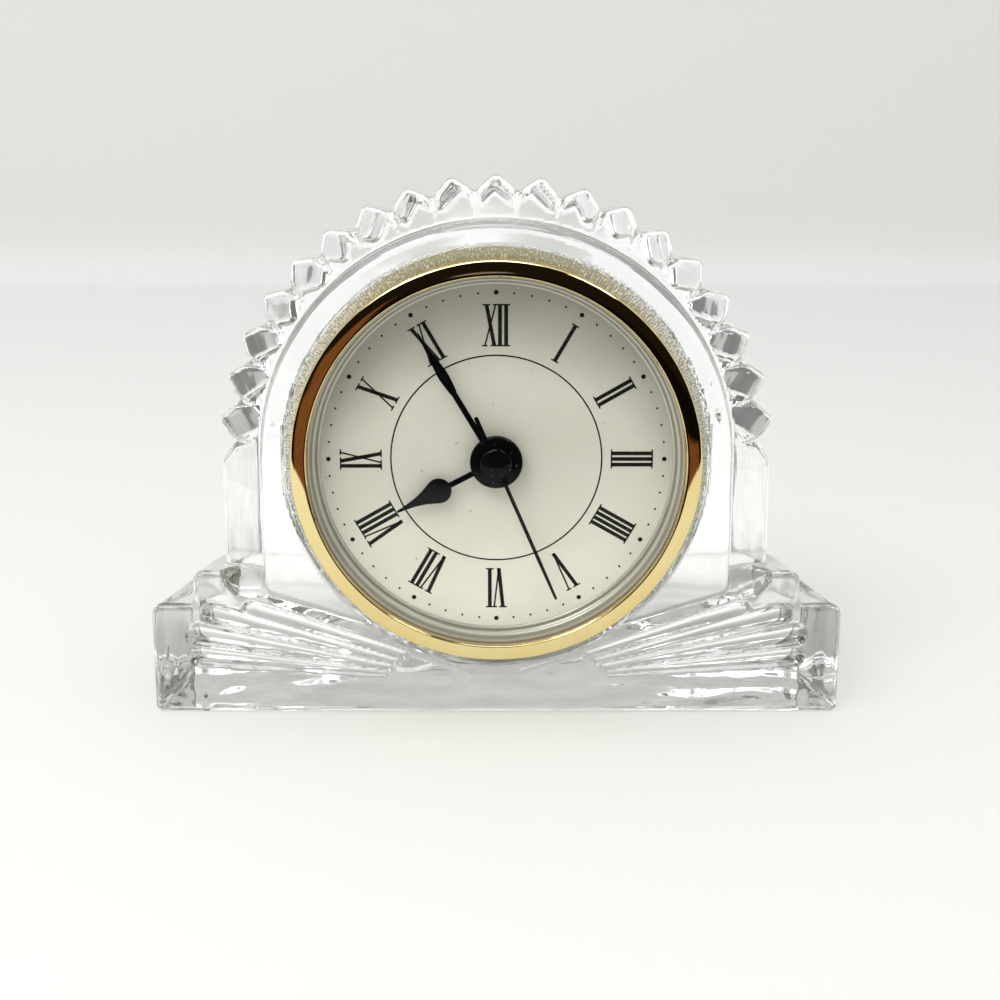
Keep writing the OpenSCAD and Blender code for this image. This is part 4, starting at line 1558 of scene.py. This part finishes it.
@dataclass
class BezelSet:
    """Gilt bezel with the domed lens and the stepped ring under it."""

    outer: float = 37.3
    opening: float = 34.3
    seat: float = 35.4
    front: float = -5.6
    back: float = 1.0
    crown: float = 0.55
    fall: float = 0.3
    lens_front: float = -7.0
    dome: float = 260.0
    lens_thickness: float = 1.2
    lens_edge: float = 35.2
    lens_bevel: float = 33.35
    corner_chords: int = 8
    corner_chord: float = math.radians(10)
    face_inner: float = 0.3
    face_shares: tuple[float, ...] = (0.1, 0.2, 0.3, 0.4, 0.5, 0.6, 0.7, 0.85, 1.0)
    lip: tuple[Point, ...] = ((0.2, 0.04), (0.14, 0.14), (0.02, 0.34), (0.0, 0.42))
    seat_cone: Point = (-4.96, -4.52)
    foot_bevel: float = 0.4
    bead: tuple[Point, ...] = ((0.0, 0.0), (0.12, 0.04), (0.4, 0.3), (0.52, 0.34))
    bead_foot: Point = (0.42, -4.3)
    bead_out: float = 0.1
    rim: tuple[float, float, float] = (-4.25, -3.25, 33.9)  # front, back, inner radius
    lens_rings: int = 12
    lens_back: float = 33.5
    tiers: tuple[Point, ...] = (
        (33.95, -3.24), (35.35, -3.24), (35.35, -0.02), (32.3, -0.02), (32.3, -0.42), (32.5, -0.52),
        (32.86, -0.56), (32.92, -1.16), (33.2, -1.3), (33.26, -1.84), (33.5, -1.96), (33.6, -2.5),
    )
    soft_edge: float = 0.06
    bezel_sides: int = 256

    def bezel_profile(self) -> list[Point]:
        """Draws the bezel's section, with a fine lip inside and a bead outside.

        Returns:
            The closed outline.
        """
        edge = (self.outer - self.crown, self.front + self.fall + self.crown)
        corner = [(edge[0] + self.crown * math.cos(a), edge[1] - self.crown * math.sin(a))
                  for a in (k * self.corner_chord for k in range(self.corner_chords))]
        inner = self.opening + self.face_inner
        face = [(edge[0] + (inner - edge[0]) * t, self.front + self.fall * (1 - t) ** 2) for t in self.face_shares]
        lip = [(self.opening + out, self.front + sunk) for out, sunk in self.lip]
        foot = [(self.opening, self.seat_cone[0]), (self.seat, self.seat_cone[1]), (self.seat, self.back),
                (self.outer - self.foot_bevel, self.back), (self.outer, self.back - self.foot_bevel)]
        return corner + face + lip + foot

    def dome_depth(self, radius: float) -> float:
        """Depth of the lens's front face at a radius."""
        return self.lens_front + self.dome - math.sqrt(self.dome**2 - radius**2)

    def lens_profile(self) -> list[Point]:
        """Draws the lens's section.

        Returns:
            The closed outline.
        """
        rings = [self.opening * i / self.lens_rings for i in range(self.lens_rings + 1)]
        front = [(r, self.dome_depth(r)) for r in rings if r < self.lens_bevel]
        top = self.dome_depth(self.lens_bevel)
        front += [(self.lens_bevel + out, top + sunk) for out, sunk in self.bead]
        front += [(self.opening, top + self.bead_foot[0]), (self.opening + self.bead_out, self.bead_foot[1])]
        rim = [(self.lens_edge, self.rim[0]), (self.lens_edge, self.rim[1]), (self.rim[2], self.rim[1])]
        back = [(r, self.dome_depth(r) + self.lens_thickness) for r in reversed(rings) if r < self.lens_back]
        return front + rim + back

    def build(self) -> list[bpy.types.Object]:
        """Builds the three turned pieces.

        Returns:
            The pieces.
        """
        sharp = range(self.corner_chords + len(self.face_shares))
        bezel = turned(soften(self.bezel_profile(), self.soft_edge, 2, keep=sharp), self.bezel_sides)
        ring = turned(soften(self.tiers, self.soft_edge, 2))
        return [
            BENCH.piece("gilt_bezel", *bezel, Slot.GILT, "insert", ["bezel"]),
            BENCH.piece("domed_lens", *turned(self.lens_profile()), Slot.LENS, "insert", ["lens"]),
            BENCH.piece("stepped_ring", *ring, Slot.SILVER, "insert", ["rebate_ring"]),
        ]


@dataclass
class Numeral:
    """Hour numeral drawn with thick and thin strokes and hairline serifs."""

    letters: str
    foot: float = 20.95
    head: float = 28.65
    thick: float = 0.7
    thin: float = 0.3
    bar: float = 0.26
    reach: float = 0.38
    after_wide: float = 2.45
    before_ten: float = 0.9
    pitch: float = 1.1
    close_pitch: tuple[tuple[str, float], ...] = (("III", 1.06), ("IIII", 1.0))

    # head and foot of the thin stroke and foot of the thick one, from its head
    five: tuple[float, float, float] = (1.65, 0.78, 0.78)
    ten: tuple[float, float, float] = (1.7, -0.3, 1.45)

    def _stroke(self, at_head: float, at_foot: float, width: float) -> list[Point]:
        """Draws a straight stroke.

        Args:
            at_head: Its place at the head.
            at_foot: Its place at the foot.
            width: Its width.

        Returns:
            The outline.
        """
        half = width / 2
        return [(at_head - half, self.head), (at_head + half, self.head),
                (at_foot + half, self.foot), (at_foot - half, self.foot)]

    def _bar(self, middle: float, width: float, at_head: bool) -> list[Point]:
        """Draws the serif bar of a stroke.

        Args:
            middle: The stroke's place.
            width: The stroke's width.
            at_head: Whether the bar is at the head.

        Returns:
            The outline.
        """
        half = width / 2 + self.reach
        high = self.head if at_head else self.foot + self.bar
        return [(middle - half, high), (middle + half, high),
                (middle + half, high - self.bar), (middle - half, high - self.bar)]

    def outlines(self) -> tuple[list[list[Point]], list[list[Point]]]:
        """Draws the whole numeral.

        Returns:
            The outlines of its strokes and of its serif bars, centred.
        """
        strokes, bars = [], []
        place, middles = 0.0, []
        step = dict(self.close_pitch).get(self.letters, self.pitch)
        for before, letter in zip(" " + self.letters, self.letters):
            if before in "VX":
                place += self.after_wide
            elif before == "I":
                place += self.before_ten if letter == "X" else step
            middles.append(place)
            if letter == "I":
                strokes.append(self._stroke(place, place, self.thick))
                bars += [self._bar(place, self.thick, True), self._bar(place, self.thick, False)]
                continue
            head, foot, left_foot = (place + by for by in (self.five if letter == "V" else self.ten))
            middles.append(head)
            strokes += [self._stroke(place, left_foot, self.thick), self._stroke(head, foot, self.thin)]
            bars += [self._bar(place, self.thick, True), self._bar(head, self.thin, True)]
            if letter == "X":
                bars += [self._bar(left_foot, self.thick, False), self._bar(foot, self.thin, False)]
        shift = (min(middles) + max(middles)) / 2
        return tuple([[(x - shift, z) for x, z in shape] for shape in shapes] for shapes in (strokes, bars))


@dataclass
class DialPlate:
    """Ivory dial with printed hours, minute dots and the inner circle."""

    edge: float = 35.35
    hole: float = 3.6
    thickness: float = 0.38
    circle: float = 19.3
    circle_line: float = 0.27
    dots_at: float = 30.75
    minutes: int = 60
    per_hour: int = 5
    hour_dot: float = 0.85
    minute_dot: float = 0.4
    dot_sides: int = 24
    dot_sink: float = -0.36
    ink: float = 0.03
    ink_root: float = 0.005
    bar_proud: float = 1.15
    hours: tuple[str, ...] = ("XII", "I", "II", "III", "IIII", "V", "VI", "VII", "VIII", "IX", "X", "XI")

    def _print(self) -> bpy.types.Object:
        """Prints the hours and the circle.

        Returns:
            The print.
        """
        parts = []
        for hour, letters in enumerate(self.hours):
            strokes, bars = Numeral(letters).outlines()
            for shapes, front in ((strokes, -self.ink), (bars, -self.ink * self.bar_proud)):
                for shape in shapes:
                    points, faces = slab(shape, front, self.ink_root)
                    parts.append((about(points, 360 / len(self.hours) * hour), faces))
        half = self.circle_line / 2
        low, high = self.circle - half, self.circle + half
        parts.append(turned([(low, -self.ink), (high, -self.ink), (high, self.ink_root), (low, self.ink_root)]))
        return BENCH.piece("hour_print", *gather(parts), Slot.INK, "insert")

    def _dots(self) -> bpy.types.Object:
        """Prints the sixty minute dots, of which every fifth is large.

        Returns:
            The dots.
        """
        ring = RingOfCopies("minute_dots", {
            "Count": self.minutes, "Circle radius": self.dots_at, "Hour dot": self.hour_dot,
            "Minute dot": self.minute_dot, "Ink": self.ink + self.ink_root,
        })
        index = ring.node("GeometryNodeInputIndex").outputs[0]
        is_hour = ring.maths("COMPARE", ring.maths("MODULO", index, float(self.per_hour)), 0.0)
        span = ring.maths("SUBTRACT", ring.metres("Hour dot"), ring.metres("Minute dot"))
        width = ring.maths("ADD", ring.metres("Minute dot"), ring.maths("MULTIPLY", is_hour, span))
        scale = ring.combined(width, ring.metres("Ink"), width)
        disc = ring.node("GeometryNodeMeshCylinder", feeds={
            "Vertices": self.dot_sides, "Radius": 0.5, "Depth": 1.0}).outputs[0]
        lying = ring.moved(disc, Rotation=(math.pi / 2, 0, 0))
        angle = ring.angle(ring.inputs.outputs["Count"])
        radius = ring.metres("Circle radius")
        spot = ring.combined(
            ring.maths("MULTIPLY", ring.maths("SINE", angle), radius),
            ring.maths("MULTIPLY", ring.metres("Ink"), self.dot_sink),
            ring.maths("MULTIPLY", ring.maths("COSINE", angle), radius))
        line = ring.node("GeometryNodeMeshLine", feeds={"Count": ring.inputs.outputs["Count"]}).outputs[0]
        spots = ring.node("GeometryNodeSetPosition", feeds={"Geometry": line, "Position": spot}).outputs[0]
        copies = ring.node("GeometryNodeInstanceOnPoints", feeds={
            "Points": spots, "Instance": lying, "Scale": scale}).outputs[0]
        return BENCH.finish_mesh("minute_dots", ring.mesh(copies, Slot.INK), Slot.INK, "insert")

    def build(self) -> list[bpy.types.Object]:
        """Builds the plate and its print.

        Returns:
            The plate, the hours and the dots.
        """
        profile = [(self.hole, 0), (self.edge, 0), (self.edge, self.thickness), (self.hole, self.thickness)]
        plate = BENCH.piece("ivory_dial", *turned(profile), Slot.IVORY, "insert", ["dial"])
        return [plate, self._print(), self._dots()]


@dataclass
class Hand:
    """A hand cut from sheet on a turned hub."""

    name: str
    body: str
    degrees: float
    front: float
    half_outline: tuple[Point, ...]
    hub: tuple[Point, ...]
    thickness: float = 0.35
    edge: float = 0.07
    edge_angle: float = math.radians(40)
    crease: float = 25.0
    hub_sides: int = 96

    def build(self) -> bpy.types.Object:
        """Builds the hand in place of the plain one.

        Returns:
            The hand.
        """
        right = list(self.half_outline)
        outline = right + [(-x, z) for x, z in reversed(right)]
        parts = [slab(outline, self.front, self.front + self.thickness), turned(self.hub, self.hub_sides)]
        points, faces = gather(parts)
        piece = BENCH.piece(self.name + "_enamelled", about(points, self.degrees), faces, Slot.ENAMEL,
                            self.body, [self.name], self.crease)
        edges = piece.modifiers.new("softened_edges", "BEVEL")
        edges.width, edges.segments, edges.limit_method = self.edge * MM, 2, "ANGLE"
        edges.angle_limit, edges.harden_normals = self.edge_angle, False
        return piece


def hub_profile(front: float, back: float, radius: float, hole: float) -> tuple[Point, ...]:
    """Section of a hub disc with a domed edge.

    Args:
        front: Depth of its front face.
        back: Depth of its back face.
        radius: Outer radius.
        hole: Radius of its hole.

    Returns:
        The closed outline.
    """
    run_in, run_back = HUB_ROUND
    dome = [(radius - run_in * (1 - math.sin(a)), front + run_back * (1 - math.cos(a))) for a in quarter(15)]
    return ((hole, front), *dome, (radius, back), (hole, back))


@dataclass
class HandSet:
    """Hour, minute and seconds hands in black enamel."""

    # degrees clockwise from twelve
    hour_at: float = 242.3
    minute_at: float = 329.4
    seconds_at: float = 156.8

    # depths of the blades' front faces
    hour_front: float = -2.1
    minute_front: float = -3.0
    seconds_front: float = -3.9

    # front, back, radius and hole of the hubs
    hour_hub: tuple[float, float, float, float] = (-2.2, -1.7, 4.8, 1.65)
    minute_hub: tuple[float, float, float, float] = (-3.1, -2.6, 4.8, 1.05)

    # half outlines, as (across, along the hand)
    leaf_radius: float = 2.35
    leaf_at: float = 11.9
    leaf_arc: range = range(-77, 20, 8)
    hour_stem: tuple[Point, ...] = ((0.53, 4.0), (0.53, 9.5))
    hour_tip: tuple[Point, ...] = (
        (1.98, 13.2), (1.66, 13.95), (1.27, 14.9), (0.95, 15.9), (0.7, 16.9), (0.5, 18.1), (0.33, 19.3),
        (0.2, 20.5),
    )
    minute_blade: tuple[Point, ...] = (
        (0.53, 4.0), (0.53, 14.9), (0.64, 15.2), (0.78, 16.4), (0.91, 17.6), (0.96, 18.5), (0.93, 19.4),
        (0.83, 20.5), (0.7, 21.6), (0.56, 22.8), (0.42, 24), (0.3, 25.7), (0.17, 27.7),
    )
    tail_radius: float = 0.4
    tail_at: float = -9.1
    tail_arc: range = range(-75, 1, 15)
    seconds_blade: tuple[Point, ...] = ((0.4, -2.4), (0.35, 2.4), (0.33, 20.0), (0.24, 28.1))

    # section of the seconds hand's cap, as (radius, depth)
    cap: tuple[Point, ...] = (
        (0, -4.4), (1.6, -4.38), (2.1, -4.33), (2.45, -4.24), (2.72, -4.1), (2.88, -3.93), (2.95, -3.75),
        (2.95, -3.42), (0.45, -3.42), (0.45, -3.9), (0, -3.9),
    )

    @staticmethod
    def _arc(radius: float, middle: float, degrees: range) -> list[Point]:
        """Points of an arc round a place along the hand."""
        angles = [math.radians(a) for a in degrees]
        return [(radius * math.cos(a), middle + radius * math.sin(a)) for a in angles]

    def _hour(self) -> Hand:
        """Hour hand with its round leaf and drawn-out tip."""
        leaf = self._arc(self.leaf_radius, self.leaf_at, self.leaf_arc)
        outline = (*self.hour_stem, *leaf, *self.hour_tip)
        return Hand("hour_hand", "hour", self.hour_at, self.hour_front, outline, hub_profile(*self.hour_hub))

    def _minute(self) -> Hand:
        """Minute hand with its slim leaf."""
        return Hand("minute_hand", "minute", self.minute_at, self.minute_front, self.minute_blade,
                    hub_profile(*self.minute_hub))

    def _seconds(self) -> Hand:
        """Seconds hand with its cap and rounded tail."""
        outline = (*self._arc(self.tail_radius, self.tail_at, self.tail_arc), *self.seconds_blade)
        return Hand("seconds_hand", "seconds", self.seconds_at, self.seconds_front, outline, self.cap)

    def build(self) -> list[bpy.types.Object]:
        """Builds the three hands."""
        return [hand.build() for hand in (self._hour(), self._minute(), self._seconds())]


@dataclass
class InsertShell:
    """What closes the movement: grip ring, knob and battery door."""

    grip_edge: float = 38.8
    grip_front: float = 1.0
    grip_step: float = 1.9
    grip_end: float = 16.9
    rib_radius: float = 32.6
    band_radius: float = 32.25
    inner: float = 31.4
    ribs: int = 40
    rib: float = 0.8
    rib_gap: float = 0.05
    rib_sides: int = 12
    soft_edge: float = 0.2
    dressed: tuple[tuple[str, Slot], ...] = (
        ("movement_case", Slot.CASE), ("battery_door", Slot.KNOB), ("setting_knob", Slot.KNOB),
    )

    def _grip(self) -> bpy.types.Object:
        """Turns the grip ring: a flange behind the bezel and a band that the ribs stand on.

        Returns:
            The ring.
        """
        section = [
            (self.inner, self.grip_front), (self.grip_edge, self.grip_front), (self.grip_edge, self.grip_step),
            (self.band_radius, self.grip_step), (self.band_radius, self.grip_end), (self.inner, self.grip_end),
        ]
        band = turned(soften(section, self.soft_edge))
        return BENCH.piece("grip_band", *band, Slot.VINYL, "insert", ["grip_ring"])

    def _ribs(self) -> bpy.types.Object:
        """Sets the ribs on the band, which hold the insert in the bore.

        Returns:
            The ribs.
        """
        length = self.grip_end - self.grip_step
        ring = RingOfCopies("grip_ribs", {
            "Count": self.ribs, "Rib radius": self.rib_radius, "Rib width": self.rib, "Rib depth": self.rib,
            "Length": length - 2 * self.rib_gap, "Start": self.grip_step + self.rib_gap,
        })
        half_width, half_depth, half_length = (
            ring.maths("MULTIPLY", ring.metres(label), 0.5) for label in ("Rib width", "Rib depth", "Length"))
        rib = ring.node("GeometryNodeMeshCylinder", feeds={
            "Vertices": self.rib_sides, "Side Segments": 1, "Radius": half_width,
            "Depth": ring.metres("Length")}).outputs[0]
        middle = ring.maths("ADD", ring.metres("Start"), half_length)
        height = ring.maths("SUBTRACT", ring.metres("Rib radius"), half_depth)
        spot = ring.combined(y=middle, z=height)
        lying = ring.moved(rib, Rotation=(math.pi / 2, 0, 0), Translation=spot)
        copies = ring.ring(ring.inputs.outputs["Count"], lying)
        return BENCH.finish_mesh("grip_ribs", ring.mesh(copies, Slot.VINYL), Slot.VINYL, "insert")

    def build(self) -> list[bpy.types.Object]:
        """Builds the shell's pieces and dresses the case.

        Returns:
            The new pieces.
        """
        for node, slot in self.dressed:
            slot.wear(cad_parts[node])
        return [self._grip(), self._ribs()]


@dataclass
class Movement:
    """Finishes of the works, whose shapes are the model's own."""

    finishes: tuple[tuple[Slot, tuple[str, ...]], ...] = (
        (Slot.FRAME, ("main_plate", "bridge")),
        (Slot.BRASS, ("centre_bush", "hour_wheel", "cannon_pinion", "motion_wheel", "centre_wheel", "third_wheel",
                      "seconds_wheel", "positive_contact", "negative_contact")),
        (Slot.STEEL, ("plate_screws", "bridge_screws", "motion_post", "setting_stem", "quartz_can", "cell")),
        (Slot.WHEEL, ("intermediate_wheel", "rotor_pinion")),
        (Slot.MAGNET, ("rotor_magnet",)),
        (Slot.IRON, ("stator", "coil_core")),
        (Slot.COPPER, ("coil",)),
        (Slot.BOARD, ("circuit_board",)),
        (Slot.CHIP, ("chip_cap",)),
    )

    def build(self) -> list[bpy.types.Object]:
        """Dresses the works."""
        return [slot.wear(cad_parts[node]) for slot, nodes in self.finishes for node in nodes]


# The studio


def through_glass(graph: Graph) -> Wire:
    """Mask of the rays that have passed a glass face."""
    passes = graph.wire("ShaderNodeLightPath", out="Transmission Depth")
    return graph.sum("GREATER_THAN", passes, 0.5)


def inner_rays(graph: Graph) -> tuple[Wire, Wire]:
    """Masks of the rays that mirrors and glass send out.

    Args:
        graph: Graph that the nodes go to.

    Returns:
        1 on mirrored rays, and 1 on rays that the crystal has turned round inside at least once.
    """
    path = graph.node("ShaderNodeLightPath")
    glossy, depth = (Wire(graph, path.outputs[name]) for name in ("Is Glossy Ray", "Ray Depth"))
    inside = through_glass(graph)
    return glossy * (1 - inside), inside * graph.sum("GREATER_THAN", depth, TURNED_DEPTH)


@dataclass(frozen=True)
class StudioPaper(Finish):
    """Pale paper of the table and the wall behind it."""

    near: Colour = (0.955, 0.965, 0.93)
    middle: Colour = (0.895, 0.895, 0.89)
    wall: Colour = (0.80, 0.80, 0.775)
    dark: Colour = (0.004, 0.003, 0.002)
    dim: Colour = (0.30, 0.30, 0.29)
    wood: Colour = (0.20, 0.082, 0.036)
    edge_y: float = -0.172
    # painted shade of the paper in the crystal's inner reflections, near and far, and strength of the painted
    # shadow behind the block
    painted_inner_shade: float = 0.10
    painted_far_shade: float = 0.10
    painted_shadow_strength: float = 0.38
    rear_y: Span = (-0.1, 0.45)
    wall_z: Span = (0.0, 0.02)
    far_reach: Span = (0.06, 0.5)
    edge_soft: float = 0.004
    # painted shadow behind the block: where it starts and ends in depth
    painted_shadow_start: Span = (0.02, 0.025)
    painted_shadow_end: Span = (0.1, 0.035)
    side_x: Span = (0.26, 0.28)
    left_board: tuple[Span, Span] = ((0.16, 0.2), (0.8, 0.72))
    right_board: tuple[Span, Span] = ((-0.24, -0.28), (-0.8, -0.7))
    right_end: Span = (-0.27, -0.24)
    wander_mm: float = 60.0
    wander: float = 0.03
    grain_mm: float = 40.0
    grain_edge: Span = (0.25, 0.6)
    grain_stretch: tuple[float, float, float] = (6, 1, 1)
    grain_shade: float = 0.35
    roughness: float = 0.9

    def _past_the_paper(self, graph: Graph, place: Wire) -> Wire:
        """Colours what lies in front of the paper, as gilt and glass mirror it.

        Args:
            graph: Graph that the nodes go to.
            place: The point's place.

        Returns:
            The colour.
        """
        across, depth, _ = graph.split(place)
        bearing = across / depth + graph.noise(place, self.wander_mm, 2) * self.wander
        left, right = (graph.step(bearing, *near) * graph.step(bearing, *far)
                       for near, far in (self.left_board, self.right_board))
        right = right * graph.step(depth, *self.right_end)
        grain = graph.noise(graph.stretched(place, self.grain_stretch), self.grain_mm, 3)
        plank = graph.blend(graph.step(grain, *self.grain_edge), shaded(self.wood, self.grain_shade), self.wood)
        return graph.blend(graph.sum("MAXIMUM", left, right), self.dark, plank)

    def surface(self, graph: Graph) -> Wire:
        """Paper that darkens slowly towards the wall and ends short of the camera in reflections; seen through the
        glass it carries painted shade and a painted shadow behind the block.

        Args:
            graph: Graph that the nodes go to.

        Returns:
            The shader.
        """
        place = graph.place()
        across, depth, height = graph.split(place)
        floor = graph.blend(graph.step(depth, *self.rear_y), self.near, self.middle)
        tone = graph.blend(graph.step(height, *self.wall_z), floor, self.wall)
        mirror, inner = inner_rays(graph)
        away = graph.sum("SQRT", across * across + depth * depth)
        # painted shade: the paper seen in the crystal's inner reflections is darkened, more so far away
        inner_shade = self.painted_inner_shade + self.painted_far_shade * graph.step(away, *self.far_reach)
        beyond = graph.step(depth, self.edge_y + self.edge_soft, self.edge_y - self.edge_soft)
        tone = graph.blend(inner * inner_shade, tone, self.dark)
        # painted shadow: the paper just behind the block is darkened for rays that have passed the glass
        painted_shadow = graph.step(depth, *self.painted_shadow_start) * graph.step(depth, *self.painted_shadow_end)
        tone = graph.blend(through_glass(graph) * painted_shadow * self.painted_shadow_strength, tone, self.dark)
        aside = graph.step(graph.sum("ABSOLUTE", across), *self.side_x)
        tone = graph.blend(inner * graph.sum("MAXIMUM", beyond, aside), tone, self.dim)
        tone = graph.blend(mirror * beyond, tone, self._past_the_paper(graph, place))
        return graph.principled(Base_Color=tone, Roughness=self.roughness, Specular_IOR_Level=0.0)


@dataclass
class Studio:
    """Table, wall, lamp, world and camera."""

    wall_y: float = 0.50
    front_y: float = -1.2
    half_width: float = 1.6
    wall_top: float = 1.3
    cove: float = 0.03
    gap: float = 0.0001
    world_level: float = 0.77

    # bright discs in the world, as direction, cosine of the angle to the edge, and brightness
    windows: tuple[tuple[tuple[float, float, float], float, float], ...] = (
        ((0.0, -0.25, 0.968), 0.955, 5.0),
        ((-0.45, -0.55, 0.70), 0.985, 10.0),
        ((0.50, -0.50, 0.707), 0.988, 10.0),
        ((-0.02, -0.9998, -0.01), 0.9992, 0.24),
    )
    window_soft: float = 0.7

    # the room that mirrors and glass show
    bright: Colour = (0.93, 0.93, 0.91)
    gloom: Colour = (0.010, 0.008, 0.005)
    wood: Colour = (0.19, 0.078, 0.034)
    dim: Colour = (0.30, 0.30, 0.29)
    facing_y: Span = (-0.05, -0.35)
    raised_z: tuple[Span, Span] = ((-0.3, -0.25), (0.93, 0.8))
    plank_bearing: tuple[Span, Span] = ((0.16, 0.2), (0.6, 0.5))
    plank_z: Span = (0.06, 0.03)
    aside_x: Span = (0.72, 0.8)
    aside_z: Span = (0.62, 0.55)

    # lamp and camera
    lamp_at: tuple[float, float, float] = (-0.38, -0.50, 0.72)
    lamp_aim: tuple[float, float, float] = (0.0, 0.0, 0.03)
    lamp_size: tuple[float, float] = (0.5, 0.4)
    lamp_watts: float = 3.2
    eye: tuple[float, float, float] = (0.00068, -0.35286, 0.13529)
    pitch: float = 15.7
    lens: float = 68.4
    sensor: float = 36.0
    clip: Span = (0.01, 20.0)

    def _sweep(self) -> bpy.types.Object:
        """Lays table and wall in one sheet with a small cove between them.

        Returns:
            The sheet.
        """
        bend = [(self.wall_y - self.cove * (1 - math.sin(a)), self.cove * (1 - math.cos(a))) for a in quarter(6)]
        profile = [(self.front_y, 0.0), *bend, (self.wall_y, self.wall_top)]
        profile = [(y, z - self.gap) for y, z in profile]
        points = [(x, y, z) for x in (-self.half_width, self.half_width) for y, z in profile]
        n = len(profile)
        mesh = bpy.data.meshes.new("studio_sweep")
        mesh.from_pydata(points, [], [(i, n + i, n + i + 1, i + 1) for i in range(n - 1)])
        mesh.shade_smooth()
        mesh.materials.append(StudioPaper("studio_paper").material())
        sweep = bpy.data.objects.new("studio_sweep", mesh)
        bpy.context.scene.collection.objects.link(sweep)
        return sweep

    def _world(self) -> None:
        """Even light, with a dim room over the camera's shoulder in mirrors and glass."""
        world = bpy.data.worlds.new("studio_world")
        world.use_nodes = True
        bpy.context.scene.world = world
        graph = Graph(world.node_tree)
        x, y, z = graph.split(graph.wire("ShaderNodeTexCoord", out="Generated"))
        facing = graph.step(y, *self.facing_y)
        raised = graph.step(z, *self.raised_z[0]) * graph.step(z, *self.raised_z[1])
        mirror, inner = inner_rays(graph)
        bearing = x / y
        near_end, far_end = (graph.step(bearing, *edge) for edge in self.plank_bearing)
        room = graph.blend(near_end * far_end * graph.step(z, *self.plank_z), self.gloom, self.wood)
        aside = graph.step(graph.sum("ABSOLUTE", x), *self.aside_x) * graph.step(z, *self.aside_z) * inner
        hidden = graph.sum("MAXIMUM", facing * raised, aside)
        seen = graph.blend(hidden, self.bright, graph.blend(inner, room, self.dim))
        for (across, depth, up), edge, glow in self.windows:
            near = x * across + y * depth + z * up
            full = self.window_soft * edge + 1 - self.window_soft
            seen = graph.blend(graph.step(near, edge, full), seen, (glow,) * 3)
        level = (self.world_level,) * 3
        seen = graph.blend(graph.sum("MAXIMUM", mirror, inner), level, seen)
        light = graph.node("ShaderNodeBackground", feeds={"Color": seen, "Strength": 1.0})
        graph.node("ShaderNodeOutputWorld", feeds={"Surface": Wire(graph, light.outputs[0])})

    def _lamp(self) -> None:
        """One broad soft lamp from the upper left."""
        data = bpy.data.lights.new("soft_lamp", "AREA")
        data.shape, data.energy = "RECTANGLE", self.lamp_watts
        data.size, data.size_y = self.lamp_size
        lamp = bpy.data.objects.new("soft_lamp", data)
        lamp.location = self.lamp_at
        aim = Vector(self.lamp_aim) - Vector(self.lamp_at)
        lamp.rotation_euler = aim.to_track_quat("-Z", "Y").to_euler()
        bpy.context.scene.collection.objects.link(lamp)

    def _camera(self) -> None:
        """Camera at the photograph's place, looking slightly down."""
        data = bpy.data.cameras.new("camera")
        data.lens, data.sensor_width = self.lens, self.sensor
        data.clip_start, data.clip_end = self.clip
        camera = bpy.data.objects.new("camera", data)
        camera.location = self.eye
        camera.rotation_euler = (math.radians(90 - self.pitch), 0, 0)
        bpy.context.scene.collection.objects.link(camera)
        bpy.context.scene.camera = camera

    def build(self) -> None:
        """Builds the studio."""
        bpy.context.scene.view_settings.view_transform = "Standard"
        self._sweep()
        self._world()
        self._lamp()
        self._camera()


def main() -> None:
    """Builds the studio and the clock."""
    logging.basicConfig(level=logging.INFO, format="%(name)s: %(message)s")
    Studio().build()
    for assembly in (CrystalBlock(), BezelSet(), DialPlate(), HandSet(), InsertShell(), Movement()):
        LOG.info("building %s", type(assembly).__name__)
        assembly.build()


if __name__ == "__main__":
    main()
